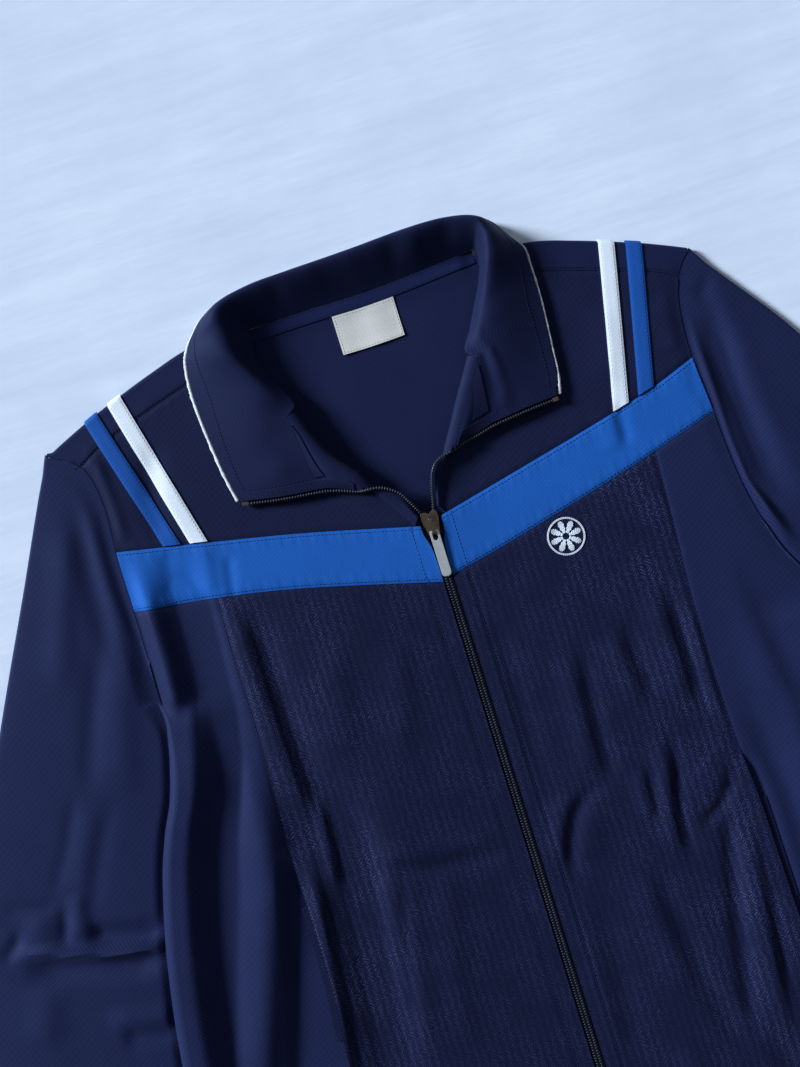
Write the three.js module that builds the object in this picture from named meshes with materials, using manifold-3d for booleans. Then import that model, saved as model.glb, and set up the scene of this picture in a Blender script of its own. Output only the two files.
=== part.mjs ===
// A zip-up track jacket laid flat, front up, with its zip open to the chest band and its collar laid open.
// Millimetres. While it is built, X runs across from the zip towards the wearer's left, Y runs from the
// hem to the collar and Z rises from the floor. R pieces are the wearer's right, L pieces the wearer's left.
import * as THREE from 'three';
import Module from 'manifold-3d';
import { mergeVertices } from 'three/addons/utils/BufferGeometryUtils.js';

// Driving dimensions
const CLOTH = 1.2;          // wall of double-knit cloth
const TRIM = 1.0;           // wall of tape, stripe, facing, collar layer and label
const SEAM = 0.3;           // gap between pieces sewn to each other
const ARMHOLE_GAP = 0.5;    // the same gap measured across the slanting armhole
const SIDE_GAP = 0.7;       // the same at the side seam, where the cloth slopes
const AIR = 2.4;            // room between back and front in the middle of the body
const AIR_AT_ARMHOLE = 2.8; // the same at the armholes and the shoulder folds
const AIR_AT_UNDERARM = 2.0;
const SIDE_LOFT = 4.8;      // how much fuller the rounded side is than the underarm
const SLEEVE_FLAT = 4.0;    // height of a sleeve where the body lies on it
const SLEEVE_CLEAR = 0.5;   // room between that sleeve and the back panel
const SLEEVE_PUFF = 2.8;    // how much higher the open sleeve stands
const SLIDER_Y = 505;
const NECK_X = 84;          // where each shoulder fold meets the neck
const CUFF_Y = 42;
const STRIPE_WIDTH = 11;
const NECK_TAPE_WIDTH = 9;
const LABEL = { width: 45, height: 28, x: -1 };
const PIPING_RADIUS = 1.25;
// Zip, size 5: half widths from the middle, heights from the underside of the fronts' edges
const ZIP = { half: 3.1, below: 1.5, above: 0.9, tapeIn: 3.4, tapeOut: 16, openTape: 7, coilRadius: 1.25, box: 8.7, top: 502 };
// Slider and pull tab. The tab turns about a bar that lies in the bail's window.
const SLIDER = { from: 494.2, to: 511, lowest: 2.9, plate: 1.0, channelTop: 7.0, top: 8.2, bailTop: 11.4, bailHalf: 1.3 };
const TAB = { pivotY: 496.6, pivotZ: 9.45, length: 32.5, half: 3.4, thick: 1.5, eyeHalf: 1.8, eyeLength: 6.5, droop: 5 };

// Each side of the jacket. Distances x are measured from the zip, whichever side it is.
const SIDES = {
  R: {
    sign: -1,
    underarmY: 440,
    tipX: 242,
    armhole: [[440, 217.5], [470, 216.5], [505, 216], [543, 216], [578, 214], [598, 216], [610, 220], [619, 229], [626, 242]],
    bodyEdge: [[0, 283], [100, 281], [194, 276], [266, 265], [322, 251], [352, 240], [373, 230], [400, 222], [420, 218], [432, 215.5], [440, 214]],
    princess: [[0, 172], [158, 166], [227, 161.5], [315, 162], [358, 160], [408, 159], [452, 159.5], [500, 158]],
    bandTop: [[4, 502], [89, 523], [152, 536], [218, 549]],
    bandBottom: [[4, 461], [100, 486], [157, 497], [218, 505]],
    pocket: { top: 282, bottom: 138 },
    white: { shoulder: 185.5, band: 158.5 },
    blue: { shoulder: 204.5, band: 177 },
    lapel: [
      { y: 505, x: 12, rise: 0, rollX: 8.5, rollY: 507, zipX: 8, zipY: 511 },
      { y: 521, x: 22, rise: 1.5, rollX: 17, rollY: 525, zipX: 17, zipY: 528.5 },
      { y: 543, x: 40, rise: 4, rollX: 35, rollY: 547, zipX: 41, zipY: 540 },
      { y: 568, x: 59.5, rise: 5, rollX: 54.5, rollY: 571, zipX: 57, zipY: 546 },
      { y: 602, x: 73, rise: 5, rollX: 68, rollY: 604, zipX: 67.5, zipY: 548 },
    ],
    neckSide: [[602, 73], [616, 76.5], [632, 82], [645, 86], [672, 88]],
    sleeve: [
      { outX: 242, outY: 626, inX: 217.5, inY: 440 },
      { outX: 258, outY: 597, inX: 222.5, inY: 428 },
      { outX: 286, outY: 541, inX: 222, inY: 416 },
      { outX: 312, outY: 490, inX: 213, inY: 400 },
      { outX: 338, outY: 438, inX: 206, inY: 372 },
      { outX: 368, outY: 378, inX: 211, inY: 335 },
      { outX: 390, outY: 318, inX: 224, inY: 288 },
      { outX: 401, outY: 250, inX: 243, inY: 232 },
      { outX: 402, outY: 180, inX: 259, inY: 172 },
      { outX: 397, outY: 108, inX: 271, inY: 107 },
      { outX: 390, outY: CUFF_Y, inX: 281, inY: CUFF_Y },
    ],
    collar: [
      { at: 0, ridge: [95, 551, 12.5], edge: [122, 556, 11] },
      { at: 17, ridge: [97, 567, 14.5], edge: [125.5, 573, 11] },
      { at: 35, ridge: [97, 584, 16], edge: [128, 592, 11] },
      { at: 52, seam: [68, 604.8, 16.8], ridge: [93, 606, 18.5], edge: [130, 613, 11] },
      { at: 60, seam: [66.3, 609.5, 14.2], ridge: [89, 619, 20], edge: [131, 627, 11] },
      { at: 75, seam: [70.5, 619.5, 12.5], ridge: [91, 633, 21], edge: [131, 641, 11] },
      { at: 90, seam: [77, 632, 11], ridge: [97, 648, 22], edge: [130, 653, 11] },
      { at: 105, seam: [82, 648, 9], ridge: [101, 664, 23], edge: [127.5, 664, 11] },
      { at: 118, seam: [81.5, 662, 7.8], ridge: [102, 678, 23.5], edge: [121, 675, 9.5] },
      { at: 130, seam: [81, 674.5, 5.5], ridge: [95, 689, 23], edge: [108, 688, 5.5] },
      { at: 150, seam: [64, 673, 3.4], ridge: [72, 695, 21], edge: [80, 696, 3.6] },
      { at: 175, seam: [42, 671.5, 3.2], ridge: [47, 696.5, 20.5], edge: [51, 698, 3.4] },
      { at: 217, seam: [0, 671.5, 3.2], ridge: [0, 698, 20.5], edge: [0, 700, 3.4] },
    ],
  },
  L: {
    sign: 1,
    underarmY: 384,
    tipX: 230,
    armhole: [[384, 246], [399, 236], [420, 226], [460, 216], [497, 212], [519, 211], [560, 208], [586, 209], [606, 212.5], [623, 220], [633, 230]],
    bodyEdge: [[0, 281], [100, 279], [194, 273], [250, 267], [300, 260], [340, 251], [360, 246], [374, 243], [384, 242]],
    princess: [[0, 170], [163, 163], [207, 162], [251, 161], [296, 158], [347, 156.5], [405, 158], [455, 161], [510, 163.5]],
    bandTop: [[4, 505], [55, 517], [134, 536], [175, 547], [208, 559]],
    bandBottom: [[4, 464], [41, 472], [120, 492], [163, 504], [212, 519]],
    pocket: { top: 291, bottom: 140 },
    white: { shoulder: 174, band: 150 },
    blue: { shoulder: 192, band: 170 },
    lapel: [
      { y: 508, x: 12, rise: 0, rollX: 8.5, rollY: 510, zipX: 7.5, zipY: 514.5 },
      { y: 532, x: 19, rise: 1.5, rollX: 14, rollY: 536, zipX: 15, zipY: 539 },
      { y: 550, x: 32, rise: 4, rollX: 27, rollY: 553, zipX: 37, zipY: 545 },
      { y: 574, x: 46.5, rise: 5, rollX: 41.5, rollY: 577, zipX: 50, zipY: 551 },
      { y: 603, x: 64, rise: 5, rollX: 59, rollY: 605, zipX: 60, zipY: 557 },
    ],
    neckSide: [[603, 64], [620, 71], [636, 78], [650, 85], [676, 91]],
    sleeve: [
      { outX: 230, outY: 633, inX: 246, inY: 384 },
      { outX: 249, outY: 606, inX: 252, inY: 377 },
      { outX: 280, outY: 561, inX: 254, inY: 366 },
      { outX: 308, outY: 510, inX: 253, inY: 349 },
      { outX: 336, outY: 455, inX: 247, inY: 328 },
      { outX: 366, outY: 392, inX: 238, inY: 300 },
      { outX: 389, outY: 328, inX: 235, inY: 268 },
      { outX: 401, outY: 256, inX: 246, inY: 225 },
      { outX: 402, outY: 182, inX: 259, inY: 170 },
      { outX: 397, outY: 110, inX: 271, inY: 107 },
      { outX: 390, outY: CUFF_Y, inX: 281, inY: CUFF_Y },
    ],
    collar: [
      { at: 0, ridge: [86, 559, 13], edge: [110, 561, 11] },
      { at: 17, ridge: [87, 574, 14], edge: [113.5, 576, 11] },
      { at: 35, ridge: [86, 590, 16], edge: [115, 594, 11] },
      { at: 52, seam: [58.5, 605.8, 16.8], ridge: [82, 608, 18.5], edge: [116.5, 611, 11] },
      { at: 60, seam: [57.5, 610.8, 14.2], ridge: [79, 620, 20], edge: [117.5, 625, 11] },
      { at: 75, seam: [64.5, 622, 12.5], ridge: [83, 635, 21.5], edge: [118, 639, 11] },
      { at: 90, seam: [72, 636, 11], ridge: [88, 650, 23], edge: [118, 652, 11] },
      { at: 105, seam: [80, 651, 9], ridge: [92, 667, 24], edge: [117.5, 666, 11] },
      { at: 118, seam: [85.5, 666, 7.5], ridge: [95, 682, 24.5], edge: [111, 677, 9.5] },
      { at: 130, seam: [84.5, 678, 5.5], ridge: [91, 693, 24], edge: [101, 692, 5.5] },
      { at: 150, seam: [67, 678, 3.4], ridge: [71, 699, 22.5], edge: [77, 700, 3.6] },
      { at: 175, seam: [42, 675.5, 3.2], ridge: [43, 700, 21], edge: [45, 702, 3.4] },
      { at: 217, seam: [0, 671.5, 3.2], ridge: [0, 698, 20.5], edge: [0, 700, 3.4] },
    ],
  },
};
const SHOULDER_FOLD = [[80, 673], [125, 669.5], [155, 661], [188, 649.5], [205, 643], [230, 632], [242, 626]];
const FORWARD_SEAM = [[80, 658], [125, 647.5], [154, 639], [180, 630.5], [204, 622], [222, 612], [242, 606]];
const BACK_NECK = [[-NECK_X, 669], [-43, 670.3], [0, 670.3], [30, 671.8], [68, 675], [NECK_X, 676.4]];
const ZIP_EDGE = [[0, 4], [470, 4], [486, 4.8], [497, 7.6], [520, 8]];

// The largest folds of the body's fronts, in signed X: a soft ridge, or a trough where height is negative
const BODY_FOLDS = [
  { path: [[-149, 485], [-149, 335]], width: 7, height: 2.4 },
  { path: [[-137, 440], [-130, 285], [-138, 150]], width: 9, height: -1.4 },
  { path: [[-114, 330], [-112, 140]], width: 12, height: 2.6 },
  { path: [[-178, 400], [-186, 120]], width: 10, height: 3.0 },
  { path: [[-192, 391], [-205, 317], [-216, 200]], width: 9, height: -1.5 },
  { path: [[-30, 264], [-84, 267]], width: 8, height: -1.0 },
  { path: [[118, 315], [109, 266], [108, 221]], width: 6, height: -1.4 },
  { path: [[130, 330], [124, 225]], width: 8, height: 2.6 },
  { path: [[143, 256], [129, 207], [118, 125]], width: 8, height: 2.8 },
  { path: [[76, 215], [83, 170], [88, 137]], width: 8, height: -1.2 },
  { path: [[63, 222], [74, 130]], width: 9, height: 2.0 },
  { path: [[75, 310], [39, 278], [25, 245]], width: 7, height: 1.8 },
  { path: [[186, 420], [200, 300], [206, 130]], width: 10, height: 2.8 },
];
// The largest folds of the sleeves
const SLEEVE_FOLDS = [
  { path: [[-230, 606], [-227, 560], [-229, 470]], width: 7, height: 2.2 },
  { path: [[-262, 279], [-315, 290], [-372, 303]], width: 8, height: 4.6 },
  { path: [[-258, 258], [-370, 280]], width: 9, height: -1.4 },
  { path: [[-270, 303], [-375, 330]], width: 10, height: -1.2 },
  { path: [[-300, 200], [-385, 214]], width: 10, height: 2.2 },
  { path: [[-262, 560], [-300, 440]], width: 14, height: 1.8 },
  { path: [[219, 610], [215, 560], [219, 500], [228, 440]], width: 6, height: 3.0 },
  { path: [[236, 590], [231, 540], [238, 470], [256, 410]], width: 9, height: -1.8 },
  { path: [[256, 570], [262, 500], [285, 430]], width: 12, height: 2.4 },
  { path: [[278, 290], [322, 305], [376, 322]], width: 8, height: 4.2 },
  { path: [[275, 268], [374, 298]], width: 9, height: -1.4 },
  { path: [[302, 196], [384, 186]], width: 10, height: 2.0 },
];

// Small helpers
const mix = (a, b, t) => a + (b - a) * t;
const clamp01 = (t) => Math.min(1, Math.max(0, t));
const smooth = (t) => clamp01(t) ** 2 * (3 - 2 * clamp01(t));
const mixPoint = (a, b, t) => a.map((value, i) => mix(value, b[i], t));
const steps = (count, from = 0, to = 1) => Array.from({ length: count + 1 }, (_, i) => mix(from, to, i / count));

// A smooth curve through a short table of [key, value] rows
function curve(rows) {
  const slope = (i) => {
    const a = rows[Math.max(i - 1, 0)];
    const b = rows[Math.min(i + 1, rows.length - 1)];
    return (b[1] - a[1]) / (b[0] - a[0]);
  };
  return (key) => {
    let i = 0;
    while (i < rows.length - 2 && key > rows[i + 1][0]) i += 1;
    const [k0, v0] = rows[i];
    const [k1, v1] = rows[i + 1];
    const span = k1 - k0;
    if (key <= k0) return v0 + slope(i) * (key - k0);
    if (key >= k1) return v1 + slope(i + 1) * (key - k1);
    const t = (key - k0) / span;
    const m0 = slope(i) * span;
    const m1 = slope(i + 1) * span;
    return v0 * (1 + 2 * t) * (1 - t) ** 2 + m0 * t * (1 - t) ** 2 + v1 * t * t * (3 - 2 * t) + m1 * t * t * (t - 1);
  };
}

// One column of a table as a curve over its key column
const column = (rows, key, name) => curve(rows.filter((row) => row[name] !== undefined).map((row) => [row[key], row[name]]));
const axisColumn = (rows, name, axis) => curve(rows.filter((row) => row[name]).map((row) => [row.at, row[name][axis]]));

for (const side of Object.values(SIDES)) {
  for (const name of ['armhole', 'bodyEdge', 'princess', 'bandTop', 'bandBottom', 'neckSide']) {
    side[`${name}At`] = curve(side[name]);
  }
}
const foldAt = curve(SHOULDER_FOLD);
const forwardSeamAt = curve(FORWARD_SEAM);
const backNeckAt = curve(BACK_NECK);
const zipEdgeAt = curve(ZIP_EDGE);

// Heights of the laid layers
function foldHeight(folds, x, y) {
  let total = 0;
  for (const { path, width, height } of folds) {
    let nearest = Infinity;
    let taper = 0;
    for (let i = 0; i < path.length - 1; i += 1) {
      const [ax, ay] = path[i];
      const [bx, by] = path[i + 1];
      const length2 = (bx - ax) ** 2 + (by - ay) ** 2;
      const t = clamp01(((x - ax) * (bx - ax) + (y - ay) * (by - ay)) / length2);
      const distance = Math.hypot(x - mix(ax, bx, t), y - mix(ay, by, t));
      if (distance < nearest) {
        nearest = distance;
        taper = (i + t) / (path.length - 1);
      }
    }
    const ends = smooth(Math.min(taper, 1 - taper) / 0.3 + 0.25);
    total += height * ends * Math.exp(-((nearest / width) ** 2));
  }
  return total;
}

// Distance from the zip to the inner edge of the sleeve that lies under the body, at a height y
function sleeveInnerAt(side, y) {
  const rows = side.sleeve.slice(2).map((row) => [row.inY, row.inX]).reverse();
  return curve(rows)(y);
}

// How far the sleeve below lifts the back panel off the floor
function lift(side, x, y) {
  const ramp = 50;
  const inward = (x - (sleeveInnerAt(side, Math.min(y, side.underarmY - 24)) - ramp)) / (ramp - 10);
  const belowArm = smooth((side.underarmY - y) / 22);
  const aboveCuff = smooth((y - CUFF_Y + 34) / 30);
  return (SLEEVE_FLAT + SLEEVE_CLEAR) * smooth(inward) * belowArm * aboveCuff;
}

const airAtSide = (side, y) => AIR_AT_UNDERARM + SIDE_LOFT * smooth((side.underarmY - 4 - y) / 50);
const sideRadius = (side, y) => CLOTH + airAtSide(side, y) / 2;
const shoulderRadius = CLOTH + AIR_AT_ARMHOLE / 2;

// Room between the back and the front
function air(side, x, y) {
  const signedX = side.sign * x;
  const nearZip = smooth(1 - (x - 6) / 14);
  const folds = foldHeight(BODY_FOLDS, signedX, y) * (1 - nearZip);
  let room = AIR + 1.1 * smooth((x - 20) / 60) + folds;
  room += 2.2 * Math.exp(-((x / 42) ** 2) - ((y - SLIDER_Y) / 34) ** 2);
  room = Math.max(room, 0.9);
  if (y < side.underarmY) {
    const rim = side.bodyEdgeAt(y) - sideRadius(side, y);
    room = mix(room, airAtSide(side, y), smooth(1 - (rim - x) / 24));
  } else {
    room = mix(room, AIR_AT_ARMHOLE, smooth(1 - (side.armholeAt(y) - x) / 16));
  }
  return mix(room, AIR_AT_ARMHOLE, smooth(1 - (foldAt(x) - shoulderRadius - y) / 22));
}

const frontTop = (side, x, y) => lift(side, x, y) + CLOTH + air(side, x, y) + CLOTH;

// The plan point a share u of the way from one edge to the other and v of the way up that column
function between(inner, outer, bottom, top, u, v) {
  const endY = (edge) => {
    let y = edge(100);
    for (let i = 0; i < 30; i += 1) y = edge(mix(inner(y), outer(y), u));
    return y;
  };
  const y = mix(endY(bottom), endY(top), v);
  return [mix(inner(y), outer(y), u), y];
}

// A sheet is a list of points and of quads, counter-clockwise seen from its outer face
class Sheet {
  constructor() {
    this.points = [];
    this.faces = [];
    this.index = new Map();
  }

  point(place) {
    const key = place.map((value) => Math.round(value * 5000)).join(',');
    if (!this.index.has(key)) {
      this.index.set(key, this.points.length);
      this.points.push(new THREE.Vector3(...place));
    }
    return this.index.get(key);
  }

  // A grid of points: place(a, b) for every a in across and b in along
  grid(across, along, place, flip = false) {
    const ids = across.map((a) => along.map((b) => this.point(place(a, b))));
    for (let i = 0; i < across.length - 1; i += 1) {
      for (let j = 0; j < along.length - 1; j += 1) {
        const quad = [ids[i][j], ids[i + 1][j], ids[i + 1][j + 1], ids[i][j + 1]];
        this.faces.push(flip ? quad.reverse() : quad);
      }
    }
    return this;
  }
}

// Two copies of a sheet, moved out along its normals by `outer` and `inner`, closed round its rim
function wall(sheet, outer, inner) {
  const triangles = [];
  for (const [a, b, c, d] of sheet.faces) {
    const p = sheet.points;
    const quads = p[a].distanceTo(p[c]) <= p[b].distanceTo(p[d]) ? [[a, b, c], [a, c, d]] : [[a, b, d], [b, c, d]];
    for (const [i, j, k] of quads) {
      if (i !== j && j !== k && k !== i) triangles.push([i, j, k]);
    }
  }
  const normals = sheet.points.map(() => new THREE.Vector3());
  for (const [a, b, c] of triangles) {
    const [pa, pb, pc] = [a, b, c].map((i) => sheet.points[i]);
    const face = new THREE.Vector3().subVectors(pb, pa).cross(new THREE.Vector3().subVectors(pc, pa));
    if (face.length() < 1e-9) continue;
    face.normalize();
    for (const [i, q, r] of [[a, pb, pc], [b, pc, pa], [c, pa, pb]]) {
      const origin = sheet.points[i];
      const angle = new THREE.Vector3().subVectors(q, origin).angleTo(new THREE.Vector3().subVectors(r, origin));
      normals[i].addScaledVector(face, angle);
    }
  }
  const count = sheet.points.length;
  const positions = [];
  for (const offset of [outer, inner]) {
    sheet.points.forEach((point, i) => {
      const moved = point.clone().addScaledVector(normals[i].clone().normalize(), offset);
      positions.push(moved.x, moved.y, moved.z);
    });
  }
  const indices = [];
  const edges = new Map();
  for (const [a, b, c] of triangles) {
    indices.push(a, b, c, count + c, count + b, count + a);
    for (const [i, j] of [[a, b], [b, c], [c, a]]) edges.set(`${i},${j}`, [i, j]);
  }
  for (const [i, j] of edges.values()) {
    if (!edges.has(`${j},${i}`)) indices.push(i, count + i, j, j, count + i, count + j);
  }
  const geometry = new THREE.BufferGeometry();
  geometry.setAttribute('position', new THREE.Float32BufferAttribute(positions, 3));
  geometry.setIndex(indices);
  return geometry;
}

// Finishes
const finish = (color, roughness, metalness = 0) => new THREE.MeshStandardMaterial({ color, roughness, metalness });
const KNIT = () => finish('#1f2547', 0.85);
const EMBOSSED = () => finish('#222848', 0.8);
const BAND_BLUE = () => finish('#2a5cab', 0.8);
const STRIPE_BLUE = () => finish('#25519b', 0.8);
const WHITE_KNIT = () => finish('#dbe4f0', 0.85);
const PIPING_WHITE = () => finish('#e6e4de', 0.9);
const LABEL_CREAM = () => finish('#e9e2cf', 0.7);
const ZIP_BLACK = () => finish('#14151a', 0.6);
const SILVER = () => finish('#b7b9bd', 0.35, 0.9);
const GUNMETAL = () => finish('#6a6660', 0.4, 0.9);

const jacket = new THREE.Group();
function add(name, geometry, material) {
  const mesh = new THREE.Mesh(geometry, material);
  mesh.name = name;
  jacket.add(mesh);
  return mesh;
}

// The cloth edge that the sleeve or the rounded side meets, at a height y
function outerEdge(side, y) {
  if (y >= side.underarmY - 0.01) {
    return side.armholeAt(Math.min(y, side.armhole[side.armhole.length - 1][0])) - ARMHOLE_GAP / 2;
  }
  return side.bodyEdgeAt(y) - sideRadius(side, y);
}

// Where each shoulder fold meets the armhole
for (const side of Object.values(SIDES)) {
  side.tip = between(() => NECK_X, (y) => outerEdge(side, y), () => 0, (x) => foldAt(x) - shoulderRadius, 1, 1);
}

// Rows of the body, as shares of the height of the back panel's sides, with both underarms among them
const backHeight = (side) => side.tip[1];
const UNDERARMS = Object.values(SIDES).map((side) => side.underarmY / backHeight(side));
const BODY_ROWS = [0, 0.07, 0.145, 0.215, 0.28, 0.345, 0.405, 0.46, 0.51, 0.56, UNDERARMS[1], 0.645, 0.68,
  UNDERARMS[0], 0.735, 0.77, 0.81, 0.85, 0.885, 0.915, 0.94, 0.96, 0.978, 0.99, 1];

// Round a fold or a side: the half circle from one height to another, as shares 0 to 1
function halfRound(x, y, outX, outY, from, to, t) {
  const reach = (Math.sin(Math.PI * t) * Math.abs(from - to)) / 2;
  return [x + outX * reach, y + outY * reach, mix(from, to, (1 - Math.cos(Math.PI * t)) / 2)];
}

// Back panel, brought over each shoulder to the forward seam
const SHOULDER_SHARES = [0, 0.2, 0.4, 0.58, 0.73, 0.87, 1];
const SHOULDER_ROWS = [0, 0.35, 0.7, 1];
const NECK_RISE = 1.2;
function backBottom(x, y) {
  const side = x < 0 ? SIDES.R : SIDES.L;
  const rise = NECK_RISE * smooth((y - 652) / 16) * smooth((NECK_X - 4 - Math.abs(x)) / 8);
  return lift(side, Math.abs(x), y) + rise;
}
function backPanel() {
  const sheet = new Sheet();
  const neckGap = SEAM / 2;
  const top = (x) => (Math.abs(x) >= NECK_X ? foldAt(Math.abs(x)) - shoulderRadius : backNeckAt(x) - neckGap);
  const left = (y) => -outerEdge(SIDES.R, y);
  const right = (y) => outerEdge(SIDES.L, y);
  const shares = (side) => SHOULDER_SHARES.map((share) => {
    const [x, y] = wrapPlan(side, share, 0);
    return (side.sign * x - left(y)) / (right(y) - left(y));
  });
  const [columnsR, columnsL] = [shares(SIDES.R).reverse(), shares(SIDES.L)];
  const neckR = columnsR[columnsR.length - 1];
  const neckL = columnsL[0];
  const columns = [...columnsR, ...steps(6, neckR, neckL).slice(1, -1), ...columnsL];
  const place = (u, v) => {
    const onShoulder = u <= neckR + 1e-9 || u >= neckL - 1e-9;
    const upper = onShoulder ? (x) => foldAt(Math.abs(x)) - shoulderRadius : top;
    const [x, y] = between(left, right, () => 0, upper, u, v);
    return [x, y, backBottom(x, y)];
  };
  sheet.grid(columns, BODY_ROWS, place, true);
  for (const side of Object.values(SIDES)) {
    const topPoints = (side.sign < 0 ? columnsR : columnsL).map((u) => place(u, 1));
    const round = steps(4);
    const height = 2 * CLOTH + AIR_AT_ARMHOLE;
    sheet.grid(topPoints, round, ([x, y, z], t) => halfRound(x, y, 0, 1, z, z + height, t), true);
    const wrapPlace = ([x0, y0], v) => {
      const neck = wrapNeck(side, y0);
      const [x, y] = wrapPlan(side, (Math.abs(x0) - neck) / (outerEdge(side, y0) - neck), v);
      return [side.sign * x, y, frontTop(side, x, y)];
    };
    sheet.grid(topPoints, SHOULDER_ROWS, wrapPlace, true);
  }
  return sheet;
}
// Plan of the strip in front of a shoulder fold: share 0 at the neck, v 0 at the fold and 1 at the seam
function wrapNeck(side, y) {
  const seamX = side.neckSideAt(forwardSeamAt(NECK_X));
  return mix(NECK_X, seamX, smooth((foldAt(NECK_X) - shoulderRadius - y) / 13));
}
function wrapPlan(side, share, v) {
  const neck = (y) => wrapNeck(side, y);
  const arm = (y) => outerEdge(side, y);
  return between(neck, arm, (x) => foldAt(x) - shoulderRadius, (x) => forwardSeamAt(x) + SEAM / 2, share, v);
}
add('back_panel', wall(backPanel(), 0, -CLOTH), KNIT());

// Side fronts, rounded under to the side seam
const sideRows = (side) => {
  const top = sidePlan(side, 1, 1)[1];
  const rows = BODY_ROWS.map((v) => v * backHeight(side)).filter((y) => y < top - 6);
  return [...rows, top].map((y) => y / top);
};
function pocketShare(side, y) {
  const { top, bottom } = side.pocket;
  return smooth((top - y) / 22) * smooth((y - bottom) / 22);
}
function sidePlan(side, u, v) {
  const inner = (y) => side.princessAt(y) + SEAM / 2;
  const outer = (y) => outerEdge(side, y);
  return between(inner, outer, () => 0, (x) => side.bandBottomAt(x) - SEAM / 2, u, v);
}
function sideHeight(side, x, y) {
  const fromSeam = x - side.princessAt(y);
  const sunk = pocketShare(side, y) * smooth(1 - fromSeam / 34);
  return mix(frontTop(side, x, y), lift(side, x, y) + 2 * CLOTH + 0.6, sunk);
}
function sideFront(side) {
  const rows = sideRows(side);
  const sheet = new Sheet();
  sheet.grid([0, 0.12, 0.28, 0.46, 0.64, 0.82, 1], rows, (u, v) => {
    const [x, y] = sidePlan(side, u, v);
    return [side.sign * x, y, sideHeight(side, x, y)];
  }, side.sign < 0);
  const rolled = rows.filter((v) => sidePlan(side, 1, v)[1] < side.underarmY - 1);
  sheet.grid(steps(5), rolled, (t, v) => {
    const [x, y] = sidePlan(side, 1, v);
    const top = sideHeight(side, x, y);
    const bottom = lift(side, x, y);
    const [rx, ry, rz] = halfRound(x, y, 1, 0, top, bottom, t);
    return [side.sign * (t === 1 ? rx + SIDE_GAP : rx), ry, rz];
  }, side.sign < 0);
  return sheet;
}
for (const [name, side] of Object.entries(SIDES)) {
  add(`side_front_${name}`, wall(sideFront(side), 0, -CLOTH), KNIT());
}

// Centre fronts
function centreHeight(side, x, y) {
  const fromSeam = side.princessAt(y) - x;
  const lip = pocketShare(side, y) * smooth(1 - fromSeam / 26);
  const open = lift(side, x, y) + 2 * CLOTH + 4.6;
  return mix(frontTop(side, x, y), Math.max(open, frontTop(side, x, y)), lip);
}
function centreFront(side) {
  const sheet = new Sheet();
  const inner = (y) => zipEdgeAt(y);
  const outer = (y) => side.princessAt(y) - SEAM / 2;
  const place = (u, v) => {
    const [x, y] = between(inner, outer, () => 0, (x0) => side.bandBottomAt(x0) - SEAM / 2, u, v);
    return [side.sign * x, y, centreHeight(side, x, y)];
  };
  return sheet.grid([0, 0.1, 0.22, 0.34, 0.46, 0.58, 0.69, 0.79, 0.9, 1], steps(13), place, side.sign < 0);
}
for (const [name, side] of Object.entries(SIDES)) {
  add(`centre_front_${name}`, wall(centreFront(side), 0, -CLOTH), EMBOSSED());
}

// Chest bands
function chestBand(side) {
  const bottom = (x) => side.bandBottomAt(x) + SEAM / 2;
  const top = (x) => side.bandTopAt(x) - SEAM / 2;
  const place = (u, v) => {
    const [x, y] = between(zipEdgeAt, (y0) => outerEdge(side, y0), bottom, top, u, v);
    return [side.sign * x, y, frontTop(side, x, y)];
  };
  return new Sheet().grid([0, 0.06, 0.15, 0.27, 0.4, 0.53, 0.66, 0.76, 0.86, 0.94, 1], steps(2), place, side.sign < 0);
}
for (const [name, side] of Object.entries(SIDES)) {
  add(`chest_band_${name}`, wall(chestBand(side), 0, -CLOTH), BAND_BLUE());
}

// Front yokes, with the lapel turned back over a soft roll
const lapelEnd = (side) => side.lapel[side.lapel.length - 1].y;
const lapelColumn = (side, name) => column(side.lapel, 'y', name);
const ROLL_HEIGHT = 6;
const LAPEL_EDGE_Z = 11.3;
// The lapel at a height y of its fold: t 0 to 1 goes round the roll and 1 to 2 on to the zip edge.
// Just above the slider its edge stands up, and from there on it tips over.
function lapelPoint(side, baseY, t) {
  const at = (name) => lapelColumn(side, name)(baseY);
  const above = baseY - side.lapel[0].y;
  const tipped = smooth((above - 22) / 20);
  const foot = frontTop(side, at('x'), baseY) + at('rise');
  const standing = [mix(at('x'), at('zipX'), t / 2), mix(baseY, at('zipY'), t / 2), foot + mix(2.5, 6, smooth(above / 24)) * Math.sin((Math.PI * t) / 4)];
  return mixPoint(standing, lapelTipped(side, baseY, t), tipped);
}
function lapelTipped(side, baseY, t) {
  const at = (name) => lapelColumn(side, name)(baseY);
  const baseX = at('x');
  const baseZ = frontTop(side, baseX, baseY) + at('rise');
  const grown = smooth((baseY - side.lapel[0].y) / 40);
  const height = mix(4, ROLL_HEIGHT, grown);
  if (t <= 1) {
    const reach = Math.sin(Math.PI * t);
    const sweep = 1 - Math.cos(Math.PI * t);
    return [mix(baseX, at('rollX'), reach), mix(baseY, at('rollY'), reach), baseZ + (height * sweep) / 2];
  }
  const over = [baseX, baseY, baseZ + height];
  const edge = [at('zipX'), at('zipY'), mix(baseZ + 1.6, LAPEL_EDGE_Z, grown)];
  const place = mixPoint(over, edge, t - 1);
  place[2] += 1.2 * Math.sin(Math.PI * (t - 1)) * grown;
  return place;
}
const yokeInner = (side) => (y) => (y <= lapelEnd(side) ? lapelColumn(side, 'x')(y) : side.neckSideAt(y));
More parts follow.
